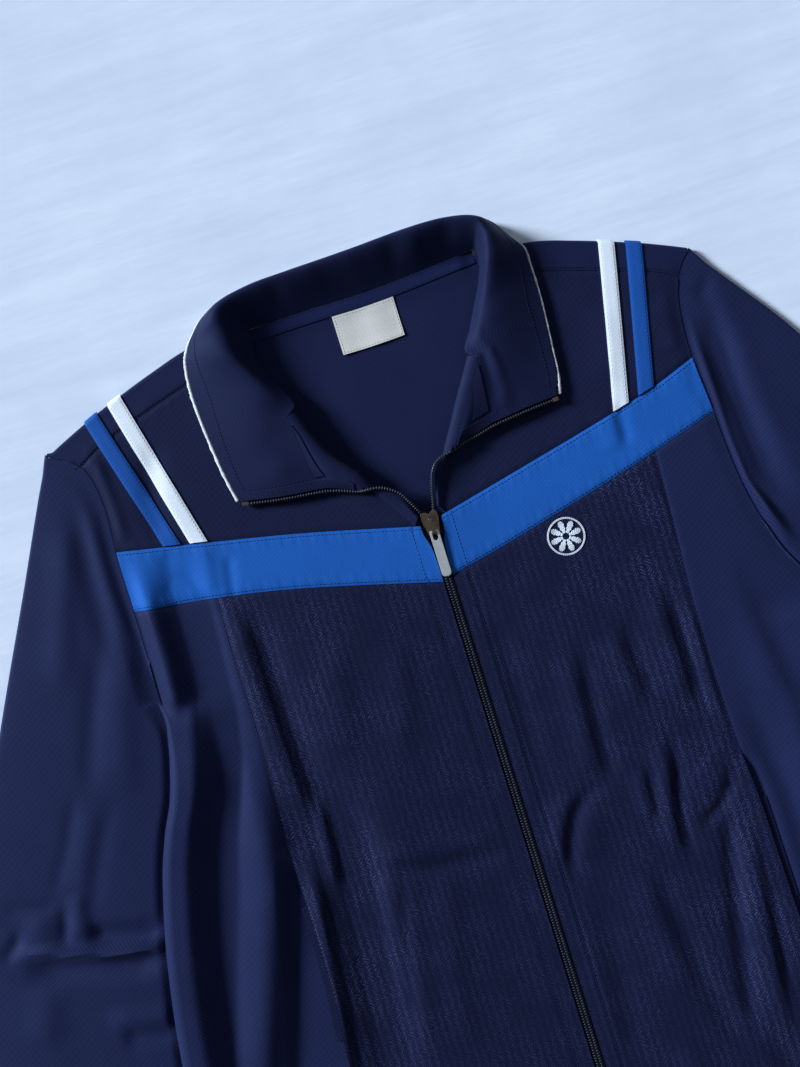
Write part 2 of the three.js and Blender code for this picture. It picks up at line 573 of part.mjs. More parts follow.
const YOKE_ROWS = (side) => {
  const low = side.bandTopAt(side.lapel[0].x);
  const high = forwardSeamAt(side.neckSideAt(656));
  const turn = (lapelEnd(side) - low) / (high - low);
  return [...steps(7, 0, turn), ...steps(4, turn, 1).slice(1)];
};
function yokePlan(side, u, v) {
  const outer = (y) => outerEdge(side, y);
  return between(yokeInner(side), outer, (x) => side.bandTopAt(x) + SEAM / 2, (x) => forwardSeamAt(x) - SEAM / 2, u, v);
}
function yokeRise(side, y) {
  if (y <= lapelEnd(side)) return lapelColumn(side, 'rise')(y);
  return mix(side.lapel[side.lapel.length - 1].rise, 1.5, smooth((y - lapelEnd(side)) / 50));
}
function yokeHeight(side, x, y) {
  const away = x - yokeInner(side)(y);
  return frontTop(side, x, y) + yokeRise(side, y) * smooth(1 - away / 30);
}
function yoke(side) {
  const rows = YOKE_ROWS(side);
  const sheet = new Sheet();
  sheet.grid([0, 0.07, 0.13, ...SHOULDER_SHARES.slice(1)], rows, (u, v) => {
    const [x, y] = yokePlan(side, u, v);
    return [side.sign * x, y, yokeHeight(side, x, y)];
  }, side.sign < 0);
  const turned = rows.slice(0, 8).map((v) => yokePlan(side, 0, v));
  const turns = [0, 0.22, 0.5, 0.78, 1, 1.25, 1.5, 1.75, 2];
  sheet.grid(turns, turned, (t, [x0, y0]) => {
    if (t === 0) return [side.sign * x0, y0, yokeHeight(side, x0, y0)];
    const [x, y, z] = lapelPoint(side, Math.min(y0, lapelEnd(side)), t);
    return [side.sign * x, y, z];
  }, side.sign > 0);
  return sheet;
}
for (const [name, side] of Object.entries(SIDES)) {
  add(`front_yoke_${name}`, wall(yoke(side), 0, -CLOTH), KNIT());
}

// Shoulder stripes, from the band over the forward seam to the shoulder fold
function stripe(side, { shoulder, band }) {
  const low = side.bandTopAt(band) + 0.6;
  const high = foldAt(shoulder) - shoulderRadius;
  const centre = (y) => mix(band, shoulder, (y - low) / (high - low));
  const across = [-0.5, 0, 0.5];
  const sheet = new Sheet();
  const place = (a, v) => {
    let x = band + a * STRIPE_WIDTH;
    let y = low;
    for (let i = 0; i < 12; i += 1) {
      y = mix(side.bandTopAt(x) + 0.6, foldAt(x) - shoulderRadius, v);
      x = centre(y) + a * STRIPE_WIDTH;
    }
    return [side.sign * x, y, frontTop(side, x, y)];
  };
  sheet.grid(across, steps(8), place, side.sign < 0);
  const height = 2 * CLOTH + AIR_AT_ARMHOLE;
  sheet.grid(across, [0, 0.25, 0.5], (a, t) => {
    const [x, y, z] = place(a, 1);
    return halfRound(x, y, 0, 1, z, z - height, t);
  }, side.sign < 0);
  return sheet;
}
for (const [name, side] of Object.entries(SIDES)) {
  add(`white_stripe_${name}`, wall(stripe(side, side.white), SEAM + TRIM, SEAM), WHITE_KNIT());
  add(`blue_stripe_${name}`, wall(stripe(side, side.blue), SEAM + TRIM, SEAM), STRIPE_BLUE());
}

// Sleeves: flattened tubes from the armhole to the open cuff
const SLEEVE_ROWS = [0, 0.06, 0.14, 0.23, 0.33, 0.43, 0.52, 0.58, 0.615, 0.65, 0.73, 0.85, 1];
function sleeveEnds(side, s) {
  const rows = side.sleeve.map((row, i) => ({ ...row, at: i / (side.sleeve.length - 1) }));
  const at = (name) => column(rows, 'at', name)(s);
  return { inner: [at('inX'), at('inY')], outer: [at('outX'), at('outY')] };
}
function sleeveTop(side, s, x, y, atArmhole) {
  const beyond = y < side.underarmY ? x - side.bodyEdgeAt(y) : x - side.armholeAt(y);
  const shown = smooth((beyond - 1) / 16);
  const { inner, outer } = sleeveEnds(side, s);
  const width = Math.hypot(outer[0] - inner[0], outer[1] - inner[1]);
  const across = Math.hypot(x - inner[0], y - inner[1]) / width;
  const crown = Math.sin(Math.PI * clamp01(across)) ** 0.6;
  const folds = foldHeight(SLEEVE_FOLDS, side.sign * x, y) * smooth((1 - across) / 0.12);
  const own = SLEEVE_FLAT + shown * Math.max(0.5 + SLEEVE_PUFF * crown + folds, -0.4);
  return mix(atArmhole, own, smooth(s / 0.14));
}
// The ring that a sleeve hangs from, as plan points and heights from the underarm to the shoulder tip
function ringAbove(side) {
  const points = [];
  const keep = ([x, y]) => points.push([x, y, frontTop(side, x, y)]);
  sideRows(side).map((v) => sidePlan(side, 1, v)).filter(([, y]) => y >= side.underarmY - 0.01).forEach(keep);
  const band = (v) => side.bandBottomAt(212) + v * (side.bandTopAt(212) - side.bandBottomAt(212));
  [0.5].forEach((v) => keep([outerEdge(side, band(v)), band(v)]));
  YOKE_ROWS(side).map((v) => yokePlan(side, 1, v)).forEach(keep);
  [0.7, 0.35, 0].map((v) => wrapPlan(side, 1, v)).forEach(keep);
  return points;
}
function ringBelow(side) {
  return BODY_ROWS.map((v) => v * backHeight(side)).filter((y) => y >= side.underarmY - 0.01)
    .map((y) => [outerEdge(side, y), y, 0]);
}
function sleeve(side) {
  const sheet = new Sheet();
  const start = sleeveEnds(side, 0);
  const above = ringAbove(side);
  const below = ringBelow(side);
  const radiusAt = (s) => SLEEVE_FLAT / 2 + 0.3 * smooth(s / 0.2);
  const place = (ring) => (point, s) => {
    const share = ring.indexOf(point) / (ring.length - 1);
    const across = clamp01((point[1] - start.inner[1]) / (ring[ring.length - 1][1] - start.inner[1]));
    const q = mix(across, share, smooth(s * 3));
    const { inner, outer } = sleeveEnds(side, s);
    const span = Math.hypot(outer[0] - inner[0], outer[1] - inner[1]);
    const inset = radiusAt(s) * smooth(s / 0.05);
    const line = (t) => [mix(inner[0], outer[0], mix(inset / span, 1 - inset / span, t)),
      mix(inner[1], outer[1], mix(inset / span, 1 - inset / span, t))];
    const [lx, ly] = line(q);
    const fade = (1 - smooth(s / 0.3)) ** 1.5;
    const [bx, by] = [mix(start.inner[0], start.outer[0], across), mix(start.inner[1], start.outer[1], across)];
    const x = lx + fade * (point[0] + ARMHOLE_GAP - bx);
    const y = ly + fade * (point[1] - by);
    return { x, y, share: q };
  };
  const upper = (point, s) => {
    const { x, y } = place(above)(point, s);
    return [side.sign * x, y, sleeveTop(side, s, x, y, point[2])];
  };
  const lower = (point, s) => {
    const { x, y } = place(below)(point, s);
    return [side.sign * x, y, 0];
  };
  sheet.grid(above, SLEEVE_ROWS, upper, side.sign > 0);
  sheet.grid(below, SLEEVE_ROWS, lower, side.sign < 0);
  for (const end of [0, 1]) {
    const topPoint = above[end ? above.length - 1 : 0];
    const lowPoint = below[end ? below.length - 1 : 0];
    sheet.grid(steps(4), SLEEVE_ROWS, (t, s) => {
      const a = upper(topPoint, s);
      const b = lower(lowPoint, s);
      if (t === 0) return a;
      if (t === 1) return b;
      const { inner, outer } = sleeveEnds(side, s);
      const span = Math.hypot(outer[0] - inner[0], outer[1] - inner[1]);
      const away = [(outer[0] - inner[0]) / span, (outer[1] - inner[1]) / span];
      const out = end ? mixPoint([0.45, 0.89], away, smooth(s / 0.12)) : away.map((value) => -value);
      const reach = Math.sin(Math.PI * t) * (a[2] / 2);
      return [mix(a[0], b[0], t) + side.sign * out[0] * reach, mix(a[1], b[1], t) + out[1] * reach, (a[2] / 2) * (1 + Math.cos(Math.PI * t))];
    }, end ? side.sign > 0 : side.sign < 0);
  }
  return sheet;
}
for (const [name, side] of Object.entries(SIDES)) {
  add(`sleeve_${name}`, wall(sleeve(side), 0, -CLOTH), KNIT());
}

// Collar: one smooth surface from the neck seam over the roll to the piped edge, in two layers
const LEAF_SHARES = [2, 1.75, 1.5, 1.25, 1];
const COLLAR_ACROSS = [0, 0.17, 0.34, 0.51, 0.68, 0.84, 1];
function collarStations(side) {
  const seamLength = side.collar[side.collar.length - 1].at;
  const leaf = LEAF_SHARES.map((t, i) => {
    const [x, y, z] = lapelPoint(side, lapelEnd(side), t);
    return { at: (52 * i) / 4, seam: [x, y, z + CLOTH] };
  });
  const rest = [56, 62, 70, 79, 88, 98, 108, 118, 124, 131, 141, 155, 175, 196, seamLength];
  const seamAt = [0, 1, 2].map((axis) => axisColumn(side.collar, 'seam', axis));
  const hidden = rest.map((at) => ({ at, seam: seamAt.map((value) => value(at)) }));
  return [...leaf, ...hidden].map((row) => ({
    seam: row.seam,
    ridge: [0, 1, 2].map((axis) => axisColumn(side.collar, 'ridge', axis)(row.at)),
    edge: [0, 1, 2].map((axis) => axisColumn(side.collar, 'edge', axis)(row.at)),
    onLeaf: row.at <= 52,
  })).map((row) => {
    const toRidge = new THREE.Vector3(...row.ridge).sub(new THREE.Vector3(...row.seam)).normalize();
    const gap = row.onLeaf ? SEAM : 0;
    return { ...row, seam: row.seam.map((value, i) => value + gap * toRidge.getComponent(i)) };
  });
}
const signed = (side, [x, y, z]) => [side.sign * x, y, z];
const COLLAR_ROWS = [
  ...collarStations(SIDES.R).map((row) => ['seam', 'ridge', 'edge'].map((name) => signed(SIDES.R, row[name]))),
  ...collarStations(SIDES.L).slice(0, -1).reverse().map((row) => ['seam', 'ridge', 'edge'].map((name) => signed(SIDES.L, row[name]))),
];
function collarPoint(row, t) {
  const line = new THREE.CatmullRomCurve3(row.map((place) => new THREE.Vector3(...place)), false, 'centripetal');
  return line.getPoint(t).toArray();
}
const collarSheet = () => new Sheet().grid(COLLAR_ROWS, COLLAR_ACROSS, collarPoint);
add('collar_inner', wall(collarSheet(), 0, -TRIM), KNIT());
add('collar_outer', wall(collarSheet(), -TRIM - SEAM, -2 * TRIM - SEAM), KNIT());

// Piping along the collar's free edge
const collarMiddle = (row, t) => {
  const i = COLLAR_ROWS.indexOf(row);
  const along = new THREE.Vector3(...collarPoint(COLLAR_ROWS[Math.min(i + 1, COLLAR_ROWS.length - 1)], t))
    .sub(new THREE.Vector3(...collarPoint(COLLAR_ROWS[Math.max(i - 1, 0)], t)));
  const here = new THREE.Vector3(...collarPoint(row, t));
  const across = here.clone().sub(new THREE.Vector3(...collarPoint(row, t - 0.04))).normalize();
  const normal = across.clone().cross(along.normalize()).negate();
  return { here, across, normal };
};
function pipingPath() {
  return COLLAR_ROWS.map((row) => {
    const { here, across, normal } = collarMiddle(row, 1);
    return here.addScaledVector(normal, -TRIM - SEAM / 2).addScaledVector(across, PIPING_RADIUS + SEAM + 0.2);
  });
}
function roundShape(radius, sides) {
  const corner = (i) => new THREE.Vector2(Math.cos((2 * Math.PI * i) / sides), Math.sin((2 * Math.PI * i) / sides)).multiplyScalar(radius);
  return new THREE.Shape(Array.from({ length: sides }, (_, i) => corner(i)));
}
function tube(points, radius, count, sides = 6) {
  const extrudePath = new THREE.CatmullRomCurve3(points, false, 'centripetal');
  return new THREE.ExtrudeGeometry(roundShape(radius, sides), { steps: count, extrudePath, bevelEnabled: false });
}
add('collar_piping', tube(pipingPath(), PIPING_RADIUS, 66, 5), PIPING_WHITE());

// Neck tape over the back neck seam, its two ends on the lapels, and the blank label below it
const backInside = (x, y) => [x, y, backBottom(x, y) + CLOTH];
const tapeBottom = (x) => backNeckAt(x) - SEAM / 2 - NECK_TAPE_WIDTH;
const neckTape = new Sheet().grid(steps(10, -79, 81), steps(4), (x, v) => backInside(x, tapeBottom(x) + v * NECK_TAPE_WIDTH));
add('neck_tape', wall(neckTape, SEAM + TRIM + 0.15, SEAM + 0.15), KNIT());
const label = new Sheet().grid(steps(4, -LABEL.width / 2, LABEL.width / 2), steps(3, -LABEL.height, 0), (x, y) => (
  backInside(x + LABEL.x, tapeBottom(x + LABEL.x) - SEAM + y)));
add('label', wall(label, SEAM + TRIM, SEAM), LABEL_CREAM());
function lapelReach(side, baseY) {
  const [over, edge] = [1, 2].map((t) => lapelPoint(side, baseY, t));
  return Math.hypot(...edge.map((value, i) => value - over[i]));
}
function neckTapeEnd(side) {
  const place = (s, v) => {
    const baseY = lapelEnd(side) - 1 - v * mix(9, 27, s);
    const last = 2 - (ZIP.openTape + 2.5) / lapelReach(side, baseY);
    return signed(side, lapelPoint(side, baseY, mix(1.1, last, s)));
  };
  return new Sheet().grid(steps(5), steps(3), place, side.sign > 0);
}
for (const [name, side] of Object.entries(SIDES)) {
  const above = CLOTH + SEAM + 0.2;
  add(`neck_tape_end_${name}`, wall(neckTapeEnd(side), above + TRIM, above), KNIT());
}

// Pocket facings, seen in the mouth of each pocket under the centre front's edge
const FACING = { inward: 8, outward: 5, above: 4.0, inset: 39 };
function pocketFacing(side) {
  const place = (a, y) => {
    const x = side.princessAt(y) + a;
    return [side.sign * x, y, lift(side, x, y) + FACING.above + TRIM];
  };
  return new Sheet().grid(steps(3, -FACING.inward, FACING.outward), steps(6, side.pocket.bottom + FACING.inset, side.pocket.top - FACING.inset), place, side.sign < 0);
}
for (const [name, side] of Object.entries(SIDES)) {
  add(`pocket_facing_${name}`, wall(pocketFacing(side), 0, -TRIM), KNIT());
}

// Zip: tapes and chain below the slider
const zipLevel = (y) => CLOTH + air(SIDES.R, ZIP.tapeIn, y);
const ZIP_ROWS = [...steps(5, 9, 400), ...steps(6, 400, ZIP.top).slice(1)];
for (const [name, side] of Object.entries(SIDES)) {
  const tape = new Sheet().grid([ZIP.tapeIn, 9, ZIP.tapeOut], ZIP_ROWS, (x, y) => (
    [side.sign * x, y, zipLevel(y) - ZIP.below + TRIM]), side.sign < 0);
  add(`zip_tape_${name}`, wall(tape, 0, -TRIM), ZIP_BLACK());
}
const chain = new Sheet().grid([-ZIP.half, 0, ZIP.half], ZIP_ROWS, (x, y) => [x, y, zipLevel(y) + ZIP.above]);
add('zip_chain', wall(chain, 0, -ZIP.below - ZIP.above), ZIP_BLACK());
const zipBox = new THREE.BoxGeometry(2 * ZIP.half, ZIP.box - 0.5, ZIP.below + ZIP.above + 0.3);
zipBox.translate(0, (ZIP.box + 0.5) / 2, zipLevel(0) + (ZIP.above - ZIP.below) / 2);
add('zip_box', zipBox, ZIP_BLACK());

// Zip: open stretches along the lapels and the collar's front ends
const lapelRows = (side) => YOKE_ROWS(side).slice(0, 8).map((v) => Math.min(yokePlan(side, 0, v)[1], lapelEnd(side)));
function openTape(side) {
  const collarEnd = side.sign < 0 ? COLLAR_ROWS.slice(0, 2) : COLLAR_ROWS.slice(-2).reverse();
  const along = (item, w) => {
    if (item.lapel) {
      const width = Math.min(0.8, ZIP.openTape / lapelReach(side, item.lapel));
      return signed(side, lapelPoint(side, item.lapel, 2 - w * width));
    }
    const [first, second] = collarEnd.map((row) => collarPoint(row, item.collar));
    const length = Math.hypot(...first.map((value, i) => value - second[i]));
    const [x, y, z] = mixPoint(first, second, (w * ZIP.openTape) / length);
    return [x, y, z - CLOTH];
  };
  const stations = [...lapelRows(side).slice(3).map((lapel) => ({ lapel })), ...[0.04, 0.28, 0.56, 0.84, 0.97].map((collar) => ({ collar }))];
  return new Sheet().grid(stations, [0.09, 0.5, 1], along, side.sign < 0);
}
function coilPath(side) {
  const level = zipLevel(ZIP.top) + (ZIP.above - ZIP.below) / 2;
  const edges = lapelRows(side).map((baseY) => lapelPoint(side, baseY, 2));
  const foot = mixPoint(edges[0], edges[1], 0.4);
  const start = [[2.9, 504.4, level], [3.6, 508, level], [4.9, 512.5, level + 0.1], [foot[0] - 2.9, foot[1] + 0.6, level + 2.6]];
  const lapel = edges.map(([x, y, z], i) => {
    const [before, after] = [edges[Math.max(i - 1, 0)], edges[Math.min(i + 1, edges.length - 1)]];
    const [dx, dy] = [after[0] - before[0], after[1] - before[1]];
    const reach = (ZIP.coilRadius + 1.1) / Math.hypot(dx, dy);
    if (i < 3) return [x - dy * reach, y + dx * reach, z + 0.6 * i];
    return [x + dy * reach, y - dx * reach, z + CLOTH / 2];
  });
  const [x, y, z] = mixPoint(edges[2], edges[3], 0.5);
  lapel.splice(3, 0, [x, y, z + CLOTH + ZIP.coilRadius + 0.8]);
  lapel.shift();
  const row = side.sign < 0 ? COLLAR_ROWS[0] : COLLAR_ROWS[COLLAR_ROWS.length - 1];
  const collar = [0.25, 0.5, 0.75, 0.9].map((t) => {
    const [x, y, z] = collarPoint(row, t);
    return [Math.abs(x), y - ZIP.coilRadius - SEAM - 0.3, z - CLOTH];
  });
  return [...start, ...lapel, ...collar].map((place) => new THREE.Vector3(...signed(side, place)));
}
for (const [name, side] of Object.entries(SIDES)) {
  const above = CLOTH + SEAM + 0.2;
  add(`zip_tape_open_${name}`, wall(openTape(side), above + TRIM, above), KNIT());
  const path = coilPath(side);
  add(`zip_coil_${name}`, tube(path, ZIP.coilRadius, 26, 5), ZIP_BLACK());
  const [before, last] = path.slice(-2);
  const stop = new THREE.BoxGeometry(4.2, 2.8, 2.8);
  stop.rotateZ(Math.atan2(last.y - before.y, last.x - before.x));
  const beyond = last.clone().sub(before).normalize().multiplyScalar(2.1 + SEAM);
  stop.translate(last.x + beyond.x, last.y + beyond.y, last.z);
  add(`top_stop_${name}`, stop, GUNMETAL());
}

// Slider: two plates round the chain, a post between them and a bail on top
const wasm = await Module();
wasm.setup();
function toSolid(geometry) {
  const plain = geometry.clone();
  plain.deleteAttribute('normal');
  plain.deleteAttribute('uv');
  const merged = mergeVertices(plain, 1e-4);
  return new wasm.Manifold(new wasm.Mesh({
    numProp: 3, vertProperties: new Float32Array(merged.attributes.position.array), triVerts: new Uint32Array(merged.index.array),
  }));
}
function toGeometry(solid) {
  const { vertProperties, triVerts } = solid.getMesh();
  const geometry = new THREE.BufferGeometry();
  geometry.setAttribute('position', new THREE.BufferAttribute(vertProperties, 3));
  geometry.setIndex(new THREE.BufferAttribute(triVerts, 1));
  return geometry;
}
function upright(outline, from, to) {
  const geometry = new THREE.ExtrudeGeometry(outline, { depth: to - from, bevelEnabled: false, curveSegments: 6 });
  return geometry.translate(0, 0, from);
}
function sliderPlate() {
  const { from, to } = SLIDER;
  const outline = new THREE.Shape();
  outline.moveTo(-3.6, from);
  outline.lineTo(3.6, from);
  outline.quadraticCurveTo(4.4, from + 0.4, 4.6, from + 4);
  outline.quadraticCurveTo(6.4, to - 6, 6.1, to - 2.5);
  outline.quadraticCurveTo(5.6, to, 3.4, to);
  outline.quadraticCurveTo(1.4, to, 0, to - 1.8);
  outline.quadraticCurveTo(-1.4, to, -3.4, to);
  outline.quadraticCurveTo(-5.6, to, -6.1, to - 2.5);
  outline.quadraticCurveTo(-6.4, to - 6, -4.6, from + 4);
  outline.quadraticCurveTo(-4.4, from + 0.4, -3.6, from);
  return outline;
}
function slider() {
  const { lowest, plate, channelTop, top, bailTop, bailHalf, to } = SLIDER;
  const post = new THREE.Shape([[-1.1, to - 4], [0, to - 6.5], [1.1, to - 4], [0, to - 2.1]].map((p) => new THREE.Vector2(...p)));
  const bail = new THREE.Shape();
  bail.moveTo(494.3, top - 0.2);
  bail.lineTo(494.3, bailTop - 1);
  bail.quadraticCurveTo(494.5, bailTop, 496, bailTop);
  bail.lineTo(504.6, bailTop);
  bail.quadraticCurveTo(507.6, bailTop, 508, top - 0.2);
  bail.closePath();
  bail.holes.push(new THREE.Path([[495.3, top + 0.05], [505.6, top + 0.05], [504, bailTop - 0.8], [495.3, bailTop - 0.8]].map((p) => new THREE.Vector2(...p))));
  const arch = new THREE.ExtrudeGeometry(bail, { depth: 2 * bailHalf, bevelEnabled: false, curveSegments: 4 });
  arch.translate(0, 0, -bailHalf).rotateY(Math.PI / 2).rotateX(Math.PI / 2);
  const pieces = [upright(sliderPlate(), lowest, lowest + plate), upright(sliderPlate(), channelTop, top), upright(post, lowest + 0.2, top - 0.2), arch];
  return toGeometry(pieces.map(toSolid).reduce((all, piece) => all.add(piece)));
}
add('slider', slider(), GUNMETAL());

// Pull tab: a flat bar with an open eye, lying towards the hem and resting on the zip
function pullTab() {
  const { half, thick, length, eyeHalf, eyeLength } = TAB;
  const outline = new THREE.Shape();
  outline.moveTo(-half + 0.9, 0.75);
  outline.lineTo(half - 0.9, 0.75);
  outline.quadraticCurveTo(half, 0.6, half, -1);
  outline.lineTo(half, 3 - length);
  outline.quadraticCurveTo(half, -length, 0, -length);
  outline.quadraticCurveTo(-half, -length, -half, 3 - length);
  outline.lineTo(-half, -1);
  outline.quadraticCurveTo(-half, 0.6, -half + 0.9, 0.75);
  const eye = [[-eyeHalf, -0.75], [-eyeHalf, 1 - eyeLength], [0, -eyeLength], [eyeHalf, 1 - eyeLength], [eyeHalf, -0.75]];
  outline.holes.push(new THREE.Path(eye.map((p) => new THREE.Vector2(...p))));
  return toGeometry(toSolid(upright(outline, -thick / 2, thick / 2)));
}
const tab = add('pull_tab', pullTab(), SILVER());
tab.position.set(0, TAB.pivotY, TAB.pivotZ);
tab.rotation.x = THREE.MathUtils.degToRad(TAB.droop);

const box = new THREE.Box3().setFromObject(jacket);
jacket.position.set(-(box.min.x + box.max.x) / 2, -(box.min.y + box.max.y) / 2, -box.min.z);

export default jacket;
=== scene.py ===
# %% [markdown]
# # A track jacket laid flat
# The jacket is navy double knit, laid on its back with the zip open to the chest band. Cloth that lies
# flat is a height over the floor, so each cut piece is made here as a fine grid of points: where it is
# in plan comes from the pattern's edges, and how high from the layers and folds below it. That keeps
# every piece on its CAD solid and gives a learner one idea to follow from the hem to the collar.

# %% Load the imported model
import math

import bpy
import numpy as np
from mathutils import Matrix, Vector


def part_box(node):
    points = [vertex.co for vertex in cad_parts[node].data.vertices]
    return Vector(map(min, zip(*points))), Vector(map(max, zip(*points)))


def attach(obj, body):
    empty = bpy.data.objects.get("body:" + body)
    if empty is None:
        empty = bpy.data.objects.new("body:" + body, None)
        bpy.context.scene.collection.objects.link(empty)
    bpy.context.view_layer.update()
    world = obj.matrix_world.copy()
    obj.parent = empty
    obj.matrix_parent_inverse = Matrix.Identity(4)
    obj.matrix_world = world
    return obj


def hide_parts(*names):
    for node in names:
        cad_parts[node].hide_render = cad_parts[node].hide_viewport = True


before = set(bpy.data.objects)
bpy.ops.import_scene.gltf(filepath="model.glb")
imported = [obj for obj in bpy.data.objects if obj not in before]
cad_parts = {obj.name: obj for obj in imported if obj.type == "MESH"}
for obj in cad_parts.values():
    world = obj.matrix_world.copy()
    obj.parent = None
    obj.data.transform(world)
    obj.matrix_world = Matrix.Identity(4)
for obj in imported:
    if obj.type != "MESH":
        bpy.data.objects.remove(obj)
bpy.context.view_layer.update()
MM = 0.001
zip_low, zip_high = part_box("zip_box")
ZIP_X = (zip_low[0] + zip_high[0]) / 2   # the zip's middle, from which all widths are measured
HEM_Y = zip_low[1] - 0.5 * MM            # the hem, from which all heights up the jacket are measured
print("the zip stands at", round(ZIP_X, 5), "and the hem at", round(HEM_Y, 5))


def to_frame(points):
    """Millimetres from the zip and the hem, to metres in the CAD's frame."""
    points = np.asarray(points, float)
    return points * MM + np.array([ZIP_X, HEM_Y, 0.0])


# %% [markdown]
# ## Camera, floor and light
# The photograph looks almost straight down from about a metre, and the zip leans 17.3 degrees in it.
# The camera is set from those facts, and not by eye. Daylight comes softly from the picture's left.

# %% Camera
LEAN = math.radians(17.3)
HEIGHT = 1.037
FRAME_TALL = 0.7469

camera = bpy.data.objects.new("camera", bpy.data.cameras.new("camera"))
camera.location = to_frame([-22.9, 502.2, 0]).tolist()[:2] + [HEIGHT]
camera.rotation_euler = (0, 0, -LEAN)
camera.data.sensor_fit = "VERTICAL"
camera.data.sensor_height = 36
camera.data.lens = 36 * HEIGHT / FRAME_TALL
bpy.context.scene.collection.objects.link(camera)
bpy.context.scene.camera = camera
bpy.context.scene.view_settings.view_transform = "Standard"   # a phone picture keeps its blues; the film-like default greys them


def hexed(code):
    """An sRGB hex value as the linear colour that Blender's sockets take."""
    parts = [int(code[i:i + 2], 16) / 255 for i in (1, 3, 5)]
    return [p / 12.92 if p <= 0.04045 else ((p + 0.055) / 1.055) ** 2.4 for p in parts] + [1.0]


def node(tree, kind, inputs=None, **settings):
    """Add a node: settings are its own fields, inputs are numbers, colours or sockets to join."""
    made = tree.nodes.new(kind)
    for key, value in settings.items():
        setattr(made, key, value)
    for key, value in (inputs or {}).items():
        if isinstance(value, bpy.types.NodeSocket):
            tree.links.new(value, made.inputs[key])
        else:
            made.inputs[key].default_value = value
    return made


# %% Floor
floor_mesh = bpy.data.meshes.new("floor")
reach = 4.0
floor_mesh.from_pydata([(-reach, -reach, -0.0006), (reach, -reach, -0.0006), (reach, reach, -0.0006), (-reach, reach, -0.0006)], [], [(0, 1, 2, 3)])
floor = bpy.data.objects.new("floor", floor_mesh)
bpy.context.scene.collection.objects.link(floor)
floor_look = bpy.data.materials.new("white painted board, scuffed")
floor_look.use_nodes = True
tree = floor_look.node_tree
place = node(tree, "ShaderNodeTexCoord").outputs["Object"]
patches = node(tree, "ShaderNodeTexNoise", {"Vector": place, "Scale": 9.0, "Detail": 5.0, "Roughness": 0.6})
brushed = node(tree, "ShaderNodeMapping", {"Vector": place, "Rotation": (0, 0, 0.5), "Scale": (7, 60, 1)}).outputs[0]
streaks = node(tree, "ShaderNodeTexNoise", {"Vector": brushed, "Scale": 1.0, "Detail": 4.0, "Roughness": 0.62})
wear = node(tree, "ShaderNodeMath", {0: patches.outputs[0], 1: streaks.outputs[0]}, operation="MULTIPLY")
wear = node(tree, "ShaderNodeMapRange", {0: wear.outputs[0], 1: 0.12, 2: 0.38, 3: 0, 4: 1})
paint = node(tree, "ShaderNodeMix", {0: wear.outputs[0], 6: hexed("#d9dfec"), 7: hexed("#e8edf6")}, data_type="RGBA")
floor_shader = tree.nodes["Principled BSDF"]
tree.links.new(paint.outputs[2], floor_shader.inputs["Base Color"])
unevenness = node(tree, "ShaderNodeBump", {"Height": wear.outputs[0], "Strength": 0.35, "Distance": 0.0006})
tree.links.new(unevenness.outputs[0], floor_shader.inputs["Normal"])
floor_shader.inputs["Roughness"].default_value = 0.62
floor_mesh.materials.append(floor_look)

# %% Daylight from the left, low enough to draw out the folds
world = bpy.data.worlds.new("room")
world.use_nodes = True
world.node_tree.nodes["Background"].inputs["Color"].default_value = hexed("#d6e6ff")
world.node_tree.nodes["Background"].inputs["Strength"].default_value = 0.13
bpy.context.scene.world = world


def daylight(name, towards, elevation, softness, strength, colour):
    """A soft far light. towards is where it comes from, in degrees from the picture's right, turning left."""
    light = bpy.data.lights.new(name, "SUN")
    light.energy = strength
    light.angle = math.radians(softness)
    light.color = hexed(colour)[:3]
    thing = bpy.data.objects.new(name, light)
    turn = math.radians(towards) - LEAN
    low = math.radians(elevation)
    source = Vector((math.cos(turn) * math.cos(low), math.sin(turn) * math.cos(low), math.sin(low)))
    thing.rotation_euler = source.to_track_quat("Z", "Y").to_euler()
    bpy.context.scene.collection.objects.link(thing)


daylight("window", 168, 25, 16, 6.2, "#dcecff")
daylight("sky", 80, 62, 60, 0.25, "#dcecff")

# %% [markdown]
# ## The jacket's measurements
# These are the same named sizes and edge tables as the CAD source, in millimetres. R is the wearer's
# right and lies on the picture's left. Widths run from the zip outwards and heights from the hem up.

# %% Sizes
CLOTH, TRIM, SEAM = 1.2, 1.0, 0.3
ARMHOLE_GAP, SIDE_GAP = 0.5, 0.04
AIR, AIR_AT_ARMHOLE, AIR_AT_UNDERARM = 2.4, 2.8, 2.0
SLEEVE_FLAT, SLEEVE_CLEAR, SLEEVE_PUFF = 4.0, 0.5, 2.8
SLIDER_Y, NECK_X, CUFF_Y = 505, 84, 42
STRIPE_WIDTH, NECK_TAPE_WIDTH, NECK_RISE = 11, 9, 1.2
LABEL = {"width": 45, "height": 28, "x": -1}
PIPING_RADIUS = 1.25
ZIP = {"half": 3.1, "below": 1.5, "above": 0.9, "tape_in": 3.4, "tape_out": 16, "open_tape": 7, "coil": 1.25, "top": 502}
TAB_PIVOT = (0.0, 496.6, 9.45)
SHOULDER_RADIUS = CLOTH + AIR_AT_ARMHOLE / 2


def table(names, rows):
    return [dict(zip(names, row)) for row in rows]


